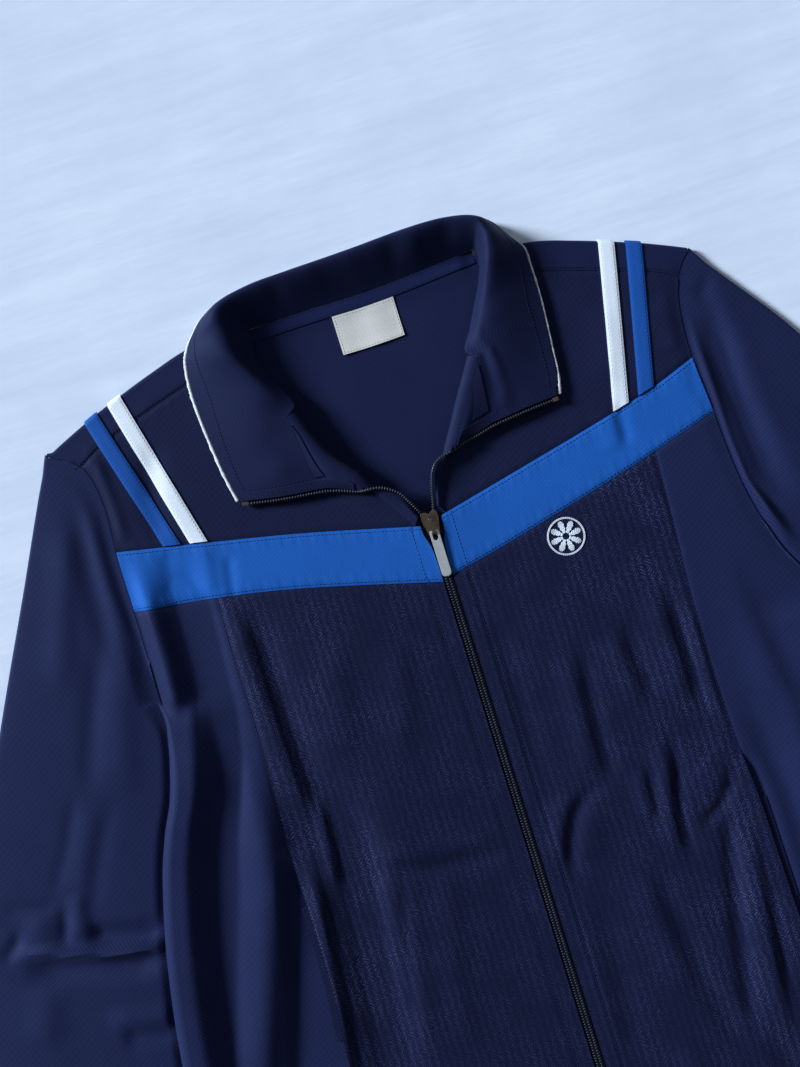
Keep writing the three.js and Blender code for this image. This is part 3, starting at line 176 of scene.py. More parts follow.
LAPEL = ("y", "x", "rise", "roll_x", "roll_y", "zip_x", "zip_y")
SLEEVE = ("out_x", "out_y", "in_x", "in_y")
COLLAR = ("at", "seam", "ridge", "edge")
SIDES = {
    "R": {
        "sign": -1, "underarm": 440, "side_loft": 11, "sleeve_ramp": 16, "side_crown": 8, "pocket_spread": 0.23,
        "armhole": [(440, 217.5), (470, 216.5), (505, 216), (543, 216), (578, 214), (598, 216), (610, 220), (619, 229), (626, 242)],
        "body_edge": [(0, 283), (100, 281), (194, 276), (266, 265), (322, 251), (352, 240), (373, 230), (400, 222), (420, 218), (432, 215.5), (440, 214)],
        "princess": [(0, 172), (158, 166), (227, 161.5), (315, 162), (358, 160), (408, 159), (452, 159.5), (500, 158)],
        "band_top": [(4, 502), (89, 523), (152, 536), (218, 549)],
        "band_bottom": [(4, 461), (100, 486), (157, 497), (218, 505)],
        "neck_side": [(602, 73), (616, 76.5), (632, 82), (645, 86), (672, 88)],
        "pocket": (312, 138),
        "white": (185.5, 158.5), "blue": (204.5, 177),
        "lapel": table(LAPEL, [
            (505, 12, 0, 8.5, 507, 8, 511), (521, 22, 1.5, 17, 525, 17, 528.5), (543, 40, 4, 35, 547, 41, 540),
            (568, 59.5, 5, 54.5, 571, 57, 546), (602, 73, 5, 68, 604, 67.5, 548)]),
        "sleeve": table(SLEEVE, [
            (242, 626, 216.5, 440), (258, 597, 213.5, 430), (286, 541, 211, 416), (312, 490, 209, 400), (338, 438, 206, 372),
            (368, 378, 211, 335), (390, 318, 224, 288), (401, 250, 243, 232), (402, 180, 259, 172), (397, 108, 271, 107), (390, CUFF_Y, 281, CUFF_Y)]),
        "collar": table(COLLAR, [
            (0, None, (95, 551, 12.5), (122, 556, 11)), (17, None, (97, 567, 14.5), (125.5, 573, 11)), (35, None, (97, 584, 16), (128, 592, 11)),
            (52, (68, 604.8, 16.8), (93, 606, 18.5), (130, 613, 11)), (60, (66.3, 609.5, 14.2), (89, 619, 20), (131, 627, 11)),
            (75, (70.5, 619.5, 12.5), (91, 633, 21), (131, 641, 11)), (90, (77, 632, 11), (97, 648, 22), (130, 653, 11)),
            (105, (82, 648, 9), (101, 664, 23), (127.5, 664, 11)), (118, (81.5, 662, 7.8), (102, 678, 23.5), (121, 675, 9.5)),
            (130, (81, 674.5, 5.5), (95, 689, 23), (108, 688, 5.5)), (150, (64, 673, 3.4), (72, 695, 21), (80, 696, 3.6)),
            (175, (42, 671.5, 3.2), (47, 696.5, 20.5), (51, 698, 3.4)), (217, (0, 671.5, 3.2), (0, 698, 20.5), (0, 700, 3.4))]),
    },
    "L": {
        "sign": 1, "underarm": 384, "side_loft": 7.6, "sleeve_ramp": 4, "side_crown": 0, "pocket_spread": 0.0,
        "armhole": [(384, 246), (399, 236), (420, 226), (460, 216), (497, 212), (519, 211), (560, 208), (586, 209), (606, 212.5), (623, 220), (633, 230)],
        "body_edge": [(0, 281), (100, 279), (194, 273), (250, 267), (300, 260), (340, 251), (360, 246), (374, 243), (384, 242)],
        "princess": [(0, 170), (163, 163), (207, 162), (251, 161), (296, 158), (347, 156.5), (405, 158), (455, 161), (510, 163.5)],
        "band_top": [(4, 505), (55, 517), (134, 536), (175, 547), (208, 559)],
        "band_bottom": [(4, 464), (41, 472), (120, 492), (163, 504), (212, 519)],
        "neck_side": [(603, 64), (620, 71), (636, 78), (650, 85), (676, 91)],
        "pocket": (291, 140),
        "white": (174, 150), "blue": (192, 170),
        "lapel": table(LAPEL, [
            (508, 12, 0, 8.5, 510, 7.5, 514.5), (532, 19, 1.5, 14, 536, 15, 539), (550, 32, 4, 27, 553, 35, 550),
            (574, 46.5, 5, 41.5, 577, 48, 553), (603, 64, 5, 59, 605, 60, 556)]),
        "sleeve": table(SLEEVE, [
            (230, 633, 245, 384), (249, 606, 243, 376), (280, 561, 244, 364), (308, 510, 245, 349), (336, 455, 243, 328),
            (366, 392, 238, 300), (389, 328, 235, 268), (401, 256, 246, 225), (402, 182, 259, 170), (397, 110, 271, 107), (390, CUFF_Y, 281, CUFF_Y)]),
        "collar": table(COLLAR, [
            (0, None, (86, 559, 13), (110, 561, 11)), (17, None, (87, 574, 14), (113.5, 576, 11)), (35, None, (86, 590, 16), (115, 594, 11)),
            (52, (58.5, 605.8, 16.8), (82, 608, 18.5), (116.5, 611, 11)), (60, (57.5, 610.8, 14.2), (79, 620, 20), (117.5, 625, 11)),
            (75, (64.5, 622, 12.5), (83, 635, 21.5), (118, 639, 11)), (90, (72, 636, 11), (88, 650, 23), (118, 652, 11)),
            (105, (80, 651, 9), (92, 667, 24), (117.5, 666, 11)), (118, (85.5, 666, 7.5), (95, 682, 24.5), (111, 677, 9.5)),
            (130, (84.5, 678, 5.5), (91, 693, 24), (101, 692, 5.5)), (150, (67, 678, 3.4), (71, 699, 22.5), (77, 700, 3.6)),
            (175, (42, 675.5, 3.2), (43, 700, 21), (45, 702, 3.4)), (217, (0, 671.5, 3.2), (0, 698, 20.5), (0, 700, 3.4))]),
    },
}
SHOULDER_FOLD = [(80, 673), (125, 669.5), (155, 661), (188, 649.5), (205, 643), (230, 632), (242, 626)]
FORWARD_SEAM = [(80, 658), (125, 647.5), (154, 639), (180, 630.5), (204, 622), (222, 612), (242, 606)]
BACK_NECK = [(-NECK_X, 669), (-43, 670.3), (0, 670.3), (30, 671.8), (68, 675), (NECK_X, 676.4)]
ZIP_EDGE = [(0, 4), (470, 4), (486, 4.8), (497, 7.6), (520, 8)]

# %% Curves through the tables
def mix(a, b, t):
    return a + (b - a) * t


def smooth(t):
    t = np.clip(t, 0, 1)
    return t * t * (3 - 2 * t)


def curve(rows):
    """A smooth curve through [key, value] rows, straight beyond its two ends."""
    keys = np.array([row[0] for row in rows], float)
    values = np.array([row[1] for row in rows], float)
    before, after = np.maximum(np.arange(len(rows)) - 1, 0), np.minimum(np.arange(len(rows)) + 1, len(rows) - 1)
    slopes = (values[after] - values[before]) / (keys[after] - keys[before])

    def at(key):
        key = np.asarray(key, float)
        i = np.clip(np.searchsorted(keys, key) - 1, 0, len(rows) - 2)
        span = keys[i + 1] - keys[i]
        t = (key - keys[i]) / span
        inside = (values[i] * (1 + 2 * t) * (1 - t) ** 2 + slopes[i] * span * t * (1 - t) ** 2
                  + values[i + 1] * t * t * (3 - 2 * t) + slopes[i + 1] * span * t * t * (t - 1))
        inside = np.where(key <= keys[0], values[0] + slopes[0] * (key - keys[0]), inside)
        return np.where(key >= keys[-1], values[-1] + slopes[-1] * (key - keys[-1]), inside)
    return at


for side in SIDES.values():
    for name in ("armhole", "body_edge", "princess", "band_top", "band_bottom", "neck_side"):
        side[name + "_at"] = curve(side[name])
    side["lapel_at"] = {name: curve([(row["y"], row[name]) for row in side["lapel"]]) for name in LAPEL[1:]}
    side["lapel_from"], side["lapel_to"] = side["lapel"][0]["y"], side["lapel"][-1]["y"]
    sleeve_keys = np.linspace(0, 1, len(side["sleeve"]))
    side["sleeve_at"] = {name: curve([(k, row[name]) for k, row in zip(sleeve_keys, side["sleeve"])]) for name in SLEEVE}
    side["sleeve_inner"] = curve([(row["in_y"], row["in_x"]) for row in side["sleeve"][2:]][::-1])
fold_at, forward_seam_at, back_neck_at, zip_edge_at = map(curve, (SHOULDER_FOLD, FORWARD_SEAM, BACK_NECK, ZIP_EDGE))

# %% [markdown]
# ## Folds
# Creases in laid knit are soft ridges and troughs, steeper on one side. Each one is a row here: the
# path it follows, how wide and high it is, and how much it leans. A cloth simulation would make folds
# too, but never the ones in the photograph, so these are listed one by one.

# %% Folds of the fronts and the sleeves
BODY_FOLDS = [
    # path, width, height, lean
    # the side's deep valley and the broad ridge beside it
    ([(-176, 436), (-192, 376), (-205, 336), (-218, 296), (-232, 257), (-254, 191), (-276, 125)], 14, -7.0, 0.0),
    ([(-173, 537), (-176, 498), (-177, 462), (-181, 427), (-191, 383), (-204, 336)], 14, -5.5, 0.0),
    ([(-166, 389), (-173, 333), (-181, 292), (-197, 246), (-220, 181), (-245, 116)], 13, 7.0, 0.1),
    ([(-203, 539), (-205, 500), (-205, 467), (-207, 435), (-211, 403), (-220, 370)], 10, 6.0, 0.1),
    # the ridge that follows the right princess seam, its valley, and the pocket's lip
    ([(-153, 494), (-148, 464), (-147, 427), (-145, 390), (-144, 353), (-147, 329)], 9, 3.8, 0.3),
    ([(-138, 482), (-139, 446), (-138, 410), (-136, 373), (-132, 335)], 12, -3.0, 0.0),
    ([(-128, 370), (-122, 328), (-120, 288), (-123, 252), (-128, 217), (-131, 182), (-137, 140), (-143, 98)], 14, -5.0, 0.0),
    ([(-151, 312), (-153, 276), (-157, 241), (-160, 206), (-165, 164), (-171, 122)], 7, 5.2, 0.3),
    ([(-132, 342), (-135, 307), (-138, 279)], 4, 2.5, 0.3),
    ([(-88, 329), (-102, 260), (-109, 190), (-113, 143)], 16, 2.4, -0.2),
    # soft folds of the right front
    ([(-113, 284), (-72, 274), (-9, 268)], 6, -1.6, 0.2),
    ([(-103, 293), (-62, 283), (-19, 280)], 8, 1.2, 0.0),
    ([(-89, 285), (-106, 218), (-118, 149)], 5, -1.4, 0.2),
    ([(-60, 276), (-76, 209), (-85, 139)], 10, 1.3, 0.1),
    ([(-48, 433), (-54, 391), (-70, 352)], 10, 1.2, 0.2),
    ([(-91, 446), (-97, 404), (-106, 363)], 12, 1.3, 0.2),
    # creases of the left front, each a valley with its ridge
    ([(143, 417), (145, 387), (145, 358), (144, 333), (147, 317)], 5.4, -2, 0.2),
    ([(133, 413), (134, 383), (135, 354), (135, 332)], 8.4, 2.4, 0.25),
    ([(152, 399), (153, 370), (151, 341), (152, 312)], 5.4, 1.4, 0.0),
    ([(75, 394), (71, 359), (69, 327), (69, 305), (67, 293)], 6, -1.7, 0.1),
    ([(64, 390), (61, 355), (59, 323), (60, 301)], 8.4, 2.1, 0.25),
    ([(62, 295), (48, 290), (36, 279), (28, 263), (24, 249), (24, 232)], 4.8, -1.7, 0.0),
    ([(40, 296), (27, 282), (20, 266), (16, 247)], 7.2, 2, 0.3),
    ([(54, 281), (41, 263), (37, 246)], 9.6, 1.2, 0.0),
    ([(108, 398), (110, 369), (113, 337)], 6, -1.4, 0.1),
    ([(98, 394), (99, 365), (103, 338)], 8.4, 1.8, 0.25),
    ([(117, 319), (114, 295), (109, 274), (105, 254), (105, 236), (107, 223)], 4.8, -1.9, 0.1),
    ([(108, 315), (106, 290), (101, 270), (98, 249), (98, 229)], 6.6, 2.5, 0.3),
    ([(94, 297), (93, 279), (91, 260)], 3.6, -1.4, 0.0),
    ([(87, 296), (86, 278), (85, 259)], 5.4, 1.9, 0.3),
    ([(129, 290), (136, 277), (138, 266)], 10.8, 2, 0.1),
    ([(150, 280), (144, 264), (131, 252), (116, 246)], 4, -3.0, 0.0),
    ([(140, 258), (131, 217), (123, 176), (116, 134), (110, 96)], 5.5, -3.8, 0.1),
    ([(151, 247), (144, 205), (139, 163), (135, 125), (130, 82)], 8.4, 3.2, 0.4),
    ([(152, 196), (146, 154), (141, 115)], 4.8, -1.7, 0.1),
    ([(79, 233), (80, 203), (85, 173), (88, 143), (95, 111), (97, 82)], 7.2, -1.5, 0.1),
    ([(67, 229), (68, 200), (72, 168), (75, 136)], 10.8, 1.8, 0.2),
    ([(34, 218), (35, 174), (28, 103)], 8.4, -1, 0.1),
    ([(18, 201), (15, 151), (14, 108)], 10.8, 1, 0.1),
    ([(22, 432), (23, 389), (23, 345), (20, 302)], 7.2, -0.9, 0.1),
    ([(7, 415), (8, 372), (7, 328)], 9.6, 0.9, 0.1),
    # the yokes and the bands
    ([(-169, 616), (-182, 576), (-181, 543)], 9, -1.8, 0.0),
    ([(-211, 618), (-210, 585), (-208, 551)], 6, 2.6, 0.3),
    ([(-182, 541), (-188, 505)], 6, -1.0, 0.0),
    ([(-155, 539), (-163, 497)], 8, 1.3, 0.3),
    ([(-141, 525), (-148, 490)], 4, -1.0, 0.0),
    ([(149, 546), (147, 513)], 4, -1.1, 0.0),
    ([(139, 542), (138, 511)], 7, 0.9, 0.2),
    ([(206, 561), (204, 529)], 5, -0.7, 0.0),
    ([(158, 616), (154, 581), (143, 555)], 9, 0.9, 0.2),
    ([(200, 610), (200, 581), (201, 566)], 8, 0.9, 0.2),
    # the lower fronts, which the photograph leaves out
    ([(-176, 150), (-190, 90), (-196, 20)], 11, 2.6, 0.2),
    ([(-60, 120), (-72, 60), (-66, 10)], 9, 1.6, 0.2),
    ([(-120, 130), (-126, 60), (-118, 5)], 8, -1.6, 0.1),
    ([(60, 110), (70, 60), (66, 5)], 9, 1.8, 0.2),
    ([(120, 100), (132, 50), (130, 5)], 7, -1.8, 0.1),
    ([(186, 420), (200, 300), (206, 130), (204, 20)], 11, 3.2, 0.2),
    ([(172, 330), (182, 250), (184, 150), (180, 60)], 8, -2.0, 0.1),
    ([(226, 330), (234, 250), (240, 150)], 9, -2.2, 0.1),
]
SLEEVE_FOLDS = [
    # the wearer's right sleeve: the ridge along the armhole and soft folds down the arm
    ([(-222, 605), (-223, 567), (-223, 531), (-222, 500), (-218, 469)], 5.5, 1.8, 0.2),
    ([(-234, 592), (-237, 550), (-239, 514), (-242, 478)], 8, -2.0, 0.0),
    ([(-242, 580), (-260, 528), (-283, 462)], 10, 1.6, 0.1),
    ([(-244, 494), (-266, 442), (-285, 390)], 8, -1.4, 0.0),
    ([(-227, 488), (-246, 436), (-259, 382)], 11, 1.4, 0.1),
    ([(-292, 399), (-310, 361), (-330, 331)], 5, -0.8, 0.0),
    ([(-282, 389), (-300, 351), (-312, 326)], 7, 0.9, 0.1),
    ([(-269, 385), (-290, 348), (-307, 309)], 6, -0.7, 0.0),
    # the strong fold across its elbow, and the one below
    ([(-367, 301), (-354, 299), (-342, 296), (-329, 291), (-316, 287), (-302, 284), (-288, 282), (-274, 280), (-262, 277)], 4, 6.8, 0.0),
    ([(-312, 331), (-314, 315), (-319, 297)], 6, 1.8, 0.1),
    ([(-314, 302), (-299, 295), (-280, 290), (-259, 287)], 7, -5.0, 0.0),
    ([(-365, 288), (-339, 283), (-312, 276), (-288, 270), (-265, 267)], 8, -4.6, 0.0),
    ([(-324, 325), (-326, 311), (-331, 298)], 4, -1.8, 0.0),
    ([(-367, 334), (-346, 330), (-325, 326)], 3, -1.3, 0.2),
    ([(-341, 323), (-346, 303)], 10, 1.8, 0.0),
    ([(-376, 300), (-365, 306), (-358, 316)], 4, -2.2, 0.0),
    ([(-313, 224), (-293, 220), (-271, 215)], 6, -2.6, 0.0),
    ([(-319, 240), (-289, 232), (-267, 228)], 7, 2.2, 0.0),
    ([(-349, 275), (-365, 233)], 12, 1.6, 0.1),
    # the wearer's left sleeve
    ([(213, 595), (213, 566), (214, 532), (214, 497), (217, 465), (227, 438), (239, 414)], 4.2, 6.5, 0.2),
    ([(225, 595), (228, 565), (229, 532), (231, 502), (235, 468), (246, 443)], 11, -4.4, 0.0),
    ([(242, 618), (240, 598), (239, 572), (240, 545), (242, 517), (246, 490), (256, 462)], 9, 1.4, -0.2),
    ([(241, 621), (231, 604), (223, 596)], 5, -2.6, 0.0),
    ([(278, 290), (322, 305), (376, 322)], 6.5, 5.4, 0.2),
    ([(275, 272), (325, 284), (374, 300)], 6, -2.6, 0.0),
    ([(300, 400), (330, 380), (350, 350)], 9, 2.0, 0.1),
    ([(302, 196), (345, 190), (384, 186)], 8, 2.4, 0.1),
    ([(300, 178), (345, 172), (384, 170)], 6, -1.8, 0.0),
    ([(268, 520), (292, 450), (318, 380)], 9, -1.6, 0.1),
    # the forearms, which the photograph leaves out
    ([(-300, 150), (-340, 142), (-386, 150)], 8, 2.0, 0.1),
    ([(-298, 134), (-340, 126), (-384, 134)], 6, -1.6, 0.0),
    ([(-330, 120), (-336, 80), (-332, 46)], 9, 1.4, 0.1),
    ([(325, 120), (332, 80), (330, 46)], 9, 1.4, 0.1),
]


def fold_height(folds, x, y):
    total = np.zeros(np.broadcast(x, y).shape)
    for path, width, height, lean in folds:
        nearest, along, offside = (np.full(total.shape, start) for start in (1e9, 0.0, 0.0))
        for i, ((ax, ay), (bx, by)) in enumerate(zip(path, path[1:])):
            length2 = (bx - ax) ** 2 + (by - ay) ** 2
            t = np.clip(((x - ax) * (bx - ax) + (y - ay) * (by - ay)) / length2, 0, 1)
            distance = np.hypot(x - mix(ax, bx, t), y - mix(ay, by, t))
            closer = distance < nearest
            nearest = np.where(closer, distance, nearest)
            along = np.where(closer, (i + t) / (len(path) - 1), along)
            offside = np.where(closer, np.sign((x - ax) * (by - ay) - (y - ay) * (bx - ax)), offside)
        ends = smooth(np.minimum(along, 1 - along) / 0.3 + 0.15)
        total += height * ends * np.exp(-(nearest / (width * (1 + lean * offside))) ** 2)
    return total


# %% Heights of the laid layers
def lift(side, x, y):
    """How far the sleeve below lifts the body off the floor."""
    inward = (x - (side["sleeve_inner"](np.minimum(y, side["underarm"] - 24)) - 50)) / 40
    return (SLEEVE_FLAT + SLEEVE_CLEAR) * smooth(inward) * smooth((side["underarm"] - y) / 22) * smooth((y - CUFF_Y + 34) / 30)


def air_at_side(side, y):
    return AIR_AT_UNDERARM + side["side_loft"] * smooth((side["underarm"] + 4 - y) / 70)


def side_radius(side, y):
    return CLOTH + air_at_side(side, y) / 2


def air(side, x, y):
    """Room between the back and the front."""
    near_zip = smooth(1 - (x - 6) / 14)
    room = AIR + 1.1 * smooth((x - 20) / 60) + fold_height(BODY_FOLDS, side["sign"] * x, y) * (1 - near_zip)
    room = room + 2.2 * np.exp(-((x / 42) ** 2) - ((y - SLIDER_Y) / 34) ** 2)
    room = np.maximum(room, 0.9 + 0.1 * room)
    rim = side["body_edge_at"](y) - side_radius(side, y)
    low = mix(room, air_at_side(side, y), smooth(1 - (rim - x - side["side_crown"]) / 22))
    high = mix(room, AIR_AT_ARMHOLE, smooth(1 - (side["armhole_at"](y) - x) / 11))
    room = mix(low, high, smooth((y - side["underarm"] + 14) / 14))
    return mix(room, AIR_AT_ARMHOLE, smooth(1 - (fold_at(x) - SHOULDER_RADIUS - y) / 22))


def front_top(side, x, y):
    return lift(side, x, y) + 2 * CLOTH + air(side, x, y)


def outer_edge(side, y):
    top = side["armhole"][-1][0]
    armhole = side["armhole_at"](np.clip(y, side["underarm"], top)) - ARMHOLE_GAP / 2
    return mix(armhole, side["body_edge_at"](y) - side_radius(side, y), smooth((side["underarm"] - y) / 20))


def between(inner, outer, bottom, top, u, v):
    """The plan point a share u of the way from one edge to the other and v of the way up."""
    def end(edge):
        y = edge(np.full(np.shape(u), 100.0))
        for _ in range(40):
            y = edge(mix(inner(y), outer(y), u))
        return y
    y = mix(end(bottom), end(top), v)
    return mix(inner(y), outer(y), u), y


# %% [markdown]
# ## From a grid to a sewn piece
# A grid of points becomes a sheet, sheets of one piece are merged where they meet, and Solidify gives
# the sheet its wall. The piece keeps a second set of coordinates, in metres along its own grain, which
# the knit's pattern follows round rolls and sleeves as real cloth does.

# %% Build one cloth piece
def place_on_grid(us, vs, place):
    u, v = np.meshgrid(np.asarray(us, float), np.asarray(vs, float), indexing="ij")
    return np.stack(np.broadcast_arrays(*place(u, v)), -1)


def run_length(points, axis):
    """How far each grid point is along the cloth, from the first, in metres."""
    step = np.linalg.norm(np.diff(points, axis=axis), axis=-1)
    total = np.cumsum(step, axis=axis)
    return np.concatenate([np.zeros_like(np.take(total, [0], axis)), total], axis) * MM


def grain_of(points):
    across, along = run_length(points, 0), run_length(points, 1)
    middle = points.shape[0] // 2
    return np.stack([across - across[middle:middle + 1], along], -1)


def plan_grain(points):
    return points[..., :2] * MM


def spaced(length, step, rim=4.0):
    """Shares 0 to 1 along an edge of so many millimetres, closer together at both ends."""
    ends = [0, 0.6, 1.3, 2.4, rim]
    inner = np.linspace(rim, length - rim, max(2, round((length - 2 * rim) / step)) + 1)
    return np.concatenate([ends[:-1], inner, [length - e for e in ends[-2::-1]]]) / length


def cloth(name, patches, look, wall, offset=0.0, replaces=None, body="jacket"):
    """patches: (points, flipped, grain) each; wall in mm goes inwards from the sheet, offset moves it outwards.
    Of two looks, the first is for the first patch. Nothing may go through the floor."""
    points, grains, faces, start = [], [], [], 0
    for grid, flipped, grain in patches:
        nu, nv = grid.shape[:2]
        ids = np.arange(nu * nv).reshape(nu, nv) + start
        quads = np.stack([ids[:-1, :-1], ids[1:, :-1], ids[1:, 1:], ids[:-1, 1:]], -1).reshape(-1, 4)
        faces.append(quads[:, ::-1] if flipped else quads)
        points.append(to_frame(grid.reshape(-1, 3)))
        grains.append(grain.reshape(-1, 2))
        start += nu * nv
    points, grains, faces = np.concatenate(points), np.concatenate(grains), np.concatenate(faces)
    mesh = bpy.data.meshes.new(name)
    mesh.from_pydata(points.tolist(), [], faces.tolist())
    looks = look if isinstance(look, tuple) else (look,)
    for each in looks:
        mesh.materials.append(each)
    kinds = [np.full((grid.shape[0] - 1) * (grid.shape[1] - 1), min(i, len(looks) - 1)) for i, (grid, _, _) in enumerate(patches)]
    mesh.polygons.foreach_set("material_index", np.concatenate(kinds))
    uv = mesh.uv_layers.new(name="grain")
    loops = np.empty(len(mesh.loops), int)
    mesh.loops.foreach_get("vertex_index", loops)
    uv.data.foreach_set("uv", grains[loops].ravel())
    piece = bpy.data.objects.new(name, mesh)
    bpy.context.scene.collection.objects.link(piece)
    weld = piece.modifiers.new("weld", "WELD")
    weld.merge_threshold = 0.02 * MM
    flatten(piece)
    if offset:
        mesh = piece.data
        count = len(mesh.vertices)
        places, normals = np.empty(count * 3), np.empty(count * 3)
        mesh.vertices.foreach_get("co", places)
        mesh.vertex_normals.foreach_get("vector", normals)
        mesh.vertices.foreach_set("co", places + normals * offset * MM)
    solid = piece.modifiers.new("wall", "SOLIDIFY")
    solid.thickness, solid.offset, solid.use_quality_normals = wall * MM, -1, True
    flatten(piece)
    places = np.empty(len(piece.data.vertices) * 3)
    piece.data.vertices.foreach_get("co", places)
    places[2::3] = np.maximum(places[2::3], 0)
    piece.data.vertices.foreach_set("co", places)
    piece.data.shade_smooth()
    piece.data.set_sharp_from_angle(angle=math.radians(55))
    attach(piece, body)
    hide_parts(*(replaces or [name[4:]]))
    return piece


def flatten(piece):
    """Turn a piece and its modifiers into one plain mesh."""
    bpy.context.view_layer.update()
    graph = bpy.context.evaluated_depsgraph_get()
    made = bpy.data.meshes.new_from_object(piece.evaluated_get(graph), depsgraph=graph)
    piece.modifiers.clear()
    old, piece.data = piece.data, made
    made.name = piece.name
    bpy.data.meshes.remove(old)


def dip(distance, depth=0.55, width=1.7):
    """Cloth sinks where it is drawn in by a seam."""
    return -depth * np.exp(-(np.maximum(distance, 0) / width) ** 2)


def pucker(distance, along, depth=0.22):
    """The small waves that stitching draws up beside it."""
    waves = np.sin(along * 0.9 + 1.7 * np.sin(along * 0.13)) * np.sin(along * 0.31 + 1.0)
    return depth * waves * np.exp(-((np.maximum(distance, 0) - 4) / 5) ** 2)


# %% [markdown]
# ## The cloths' looks
# Plain parts are a double knit with a fine diagonal rib, the front panels are the same knit embossed
# with short dashes that lean one way and then the other, and bands and stripes are plain knit. All of
# them are matt polyester with a soft sheen. Patterns are scaled in millimetres of real cloth. The rib's
# crests and the dashes are painted lighter than the cloth round them: painted highlights.

# %% Knits
def blank_material(name):
    made = bpy.data.materials.new(name)
    made.use_nodes = True
    tree = made.node_tree
    shader = tree.nodes["Principled BSDF"]
    return made, tree, shader


def grain_axes(tree, pitch_x, pitch_y, turn=0.0):
    """The cloth's own coordinates, counted in threads or cells of so many millimetres."""
    source = node(tree, "ShaderNodeUVMap", uv_map="grain")
    turned = node(tree, "ShaderNodeMapping", {"Vector": source.outputs[0], "Rotation": (0, 0, turn), "Scale": (1000 / pitch_x, 1000 / pitch_y, 1)}, vector_type="POINT")
    return turned.outputs[0]


def rib(tree, pitch, turn):
    """A soft diagonal rib: 0 in its grooves and 1 on its crests, broken into stitches along its length."""
    parts = node(tree, "ShaderNodeSeparateXYZ", {0: grain_axes(tree, 1, 1, turn)})
    wave = node(tree, "ShaderNodeMath", {0: node(tree, "ShaderNodeMath", {0: parts.outputs[0], 1: 2 * math.pi / pitch}, operation="MULTIPLY").outputs[0]}, operation="SINE")
    beat = node(tree, "ShaderNodeMath", {0: node(tree, "ShaderNodeMath", {0: parts.outputs[1], 1: 2 * math.pi / (pitch * 1.7)}, operation="MULTIPLY").outputs[0]}, operation="SINE")
    both = node(tree, "ShaderNodeMath", {0: beat.outputs[0], 1: 0.3, 2: wave.outputs[0]}, operation="MULTIPLY_ADD")
    return node(tree, "ShaderNodeMapRange", {0: both.outputs[0], 1: -1.3, 2: 1.3, 3: 0, 4: 1}).outputs[0]


def knit(name, colour, crest_highlight, pitch=1.9, turn=-0.57, rib_depth=0.1, rough=0.66, sheen=0.16, sheen_tint="#8890bc", cloudy=0.08):
    made, tree, shader = blank_material(name)
    pattern = rib(tree, pitch, turn)
    place = node(tree, "ShaderNodeUVMap", uv_map="grain").outputs[0]
    clouds = node(tree, "ShaderNodeTexNoise", {"Vector": place, "Scale": 22.0, "Detail": 3.0, "Roughness": 0.55})
    fuzz = node(tree, "ShaderNodeTexNoise", {"Vector": place, "Scale": 900.0, "Detail": 3.0, "Roughness": 0.7})
    # The rib's crests take the lighter colour and its grooves the darker: painted highlight and painted shade, besides
    # the rib's bump.
    ribbed = node(tree, "ShaderNodeMix", {0: pattern, 6: hexed(colour), 7: hexed(crest_highlight)}, data_type="RGBA")
    shade = node(tree, "ShaderNodeMapRange", {0: clouds.outputs[0], 1: 0.3, 2: 0.7, 3: 1 - cloudy, 4: 1 + cloudy})
    speck = node(tree, "ShaderNodeMapRange", {0: fuzz.outputs[0], 1: 0.25, 2: 0.75, 3: 0.86, 4: 1.14})
    level = node(tree, "ShaderNodeMath", {0: shade.outputs[0], 1: speck.outputs[0]}, operation="MULTIPLY")
    tinted = node(tree, "ShaderNodeMix", {0: 1.0, 6: ribbed.outputs[2], 7: level.outputs[0]}, data_type="RGBA", blend_type="MULTIPLY")
    tree.links.new(tinted.outputs[2], shader.inputs["Base Color"])
    height = node(tree, "ShaderNodeMath", {0: fuzz.outputs[0], 1: 0.5, 2: pattern}, operation="MULTIPLY_ADD")
    bump = node(tree, "ShaderNodeBump", {"Height": height.outputs[0], "Strength": 0.6, "Distance": rib_depth * MM})
    tree.links.new(bump.outputs[0], shader.inputs["Normal"])
    shader.inputs["Roughness"].default_value = rough
    shader.inputs["Specular IOR Level"].default_value = 0.3
    shader.inputs["Specular Tint"].default_value = hexed(sheen_tint)
    shader.inputs["Sheen Weight"].default_value = sheen
    shader.inputs["Sheen Roughness"].default_value = 0.45
    shader.inputs["Sheen Tint"].default_value = hexed(sheen_tint)
    return made


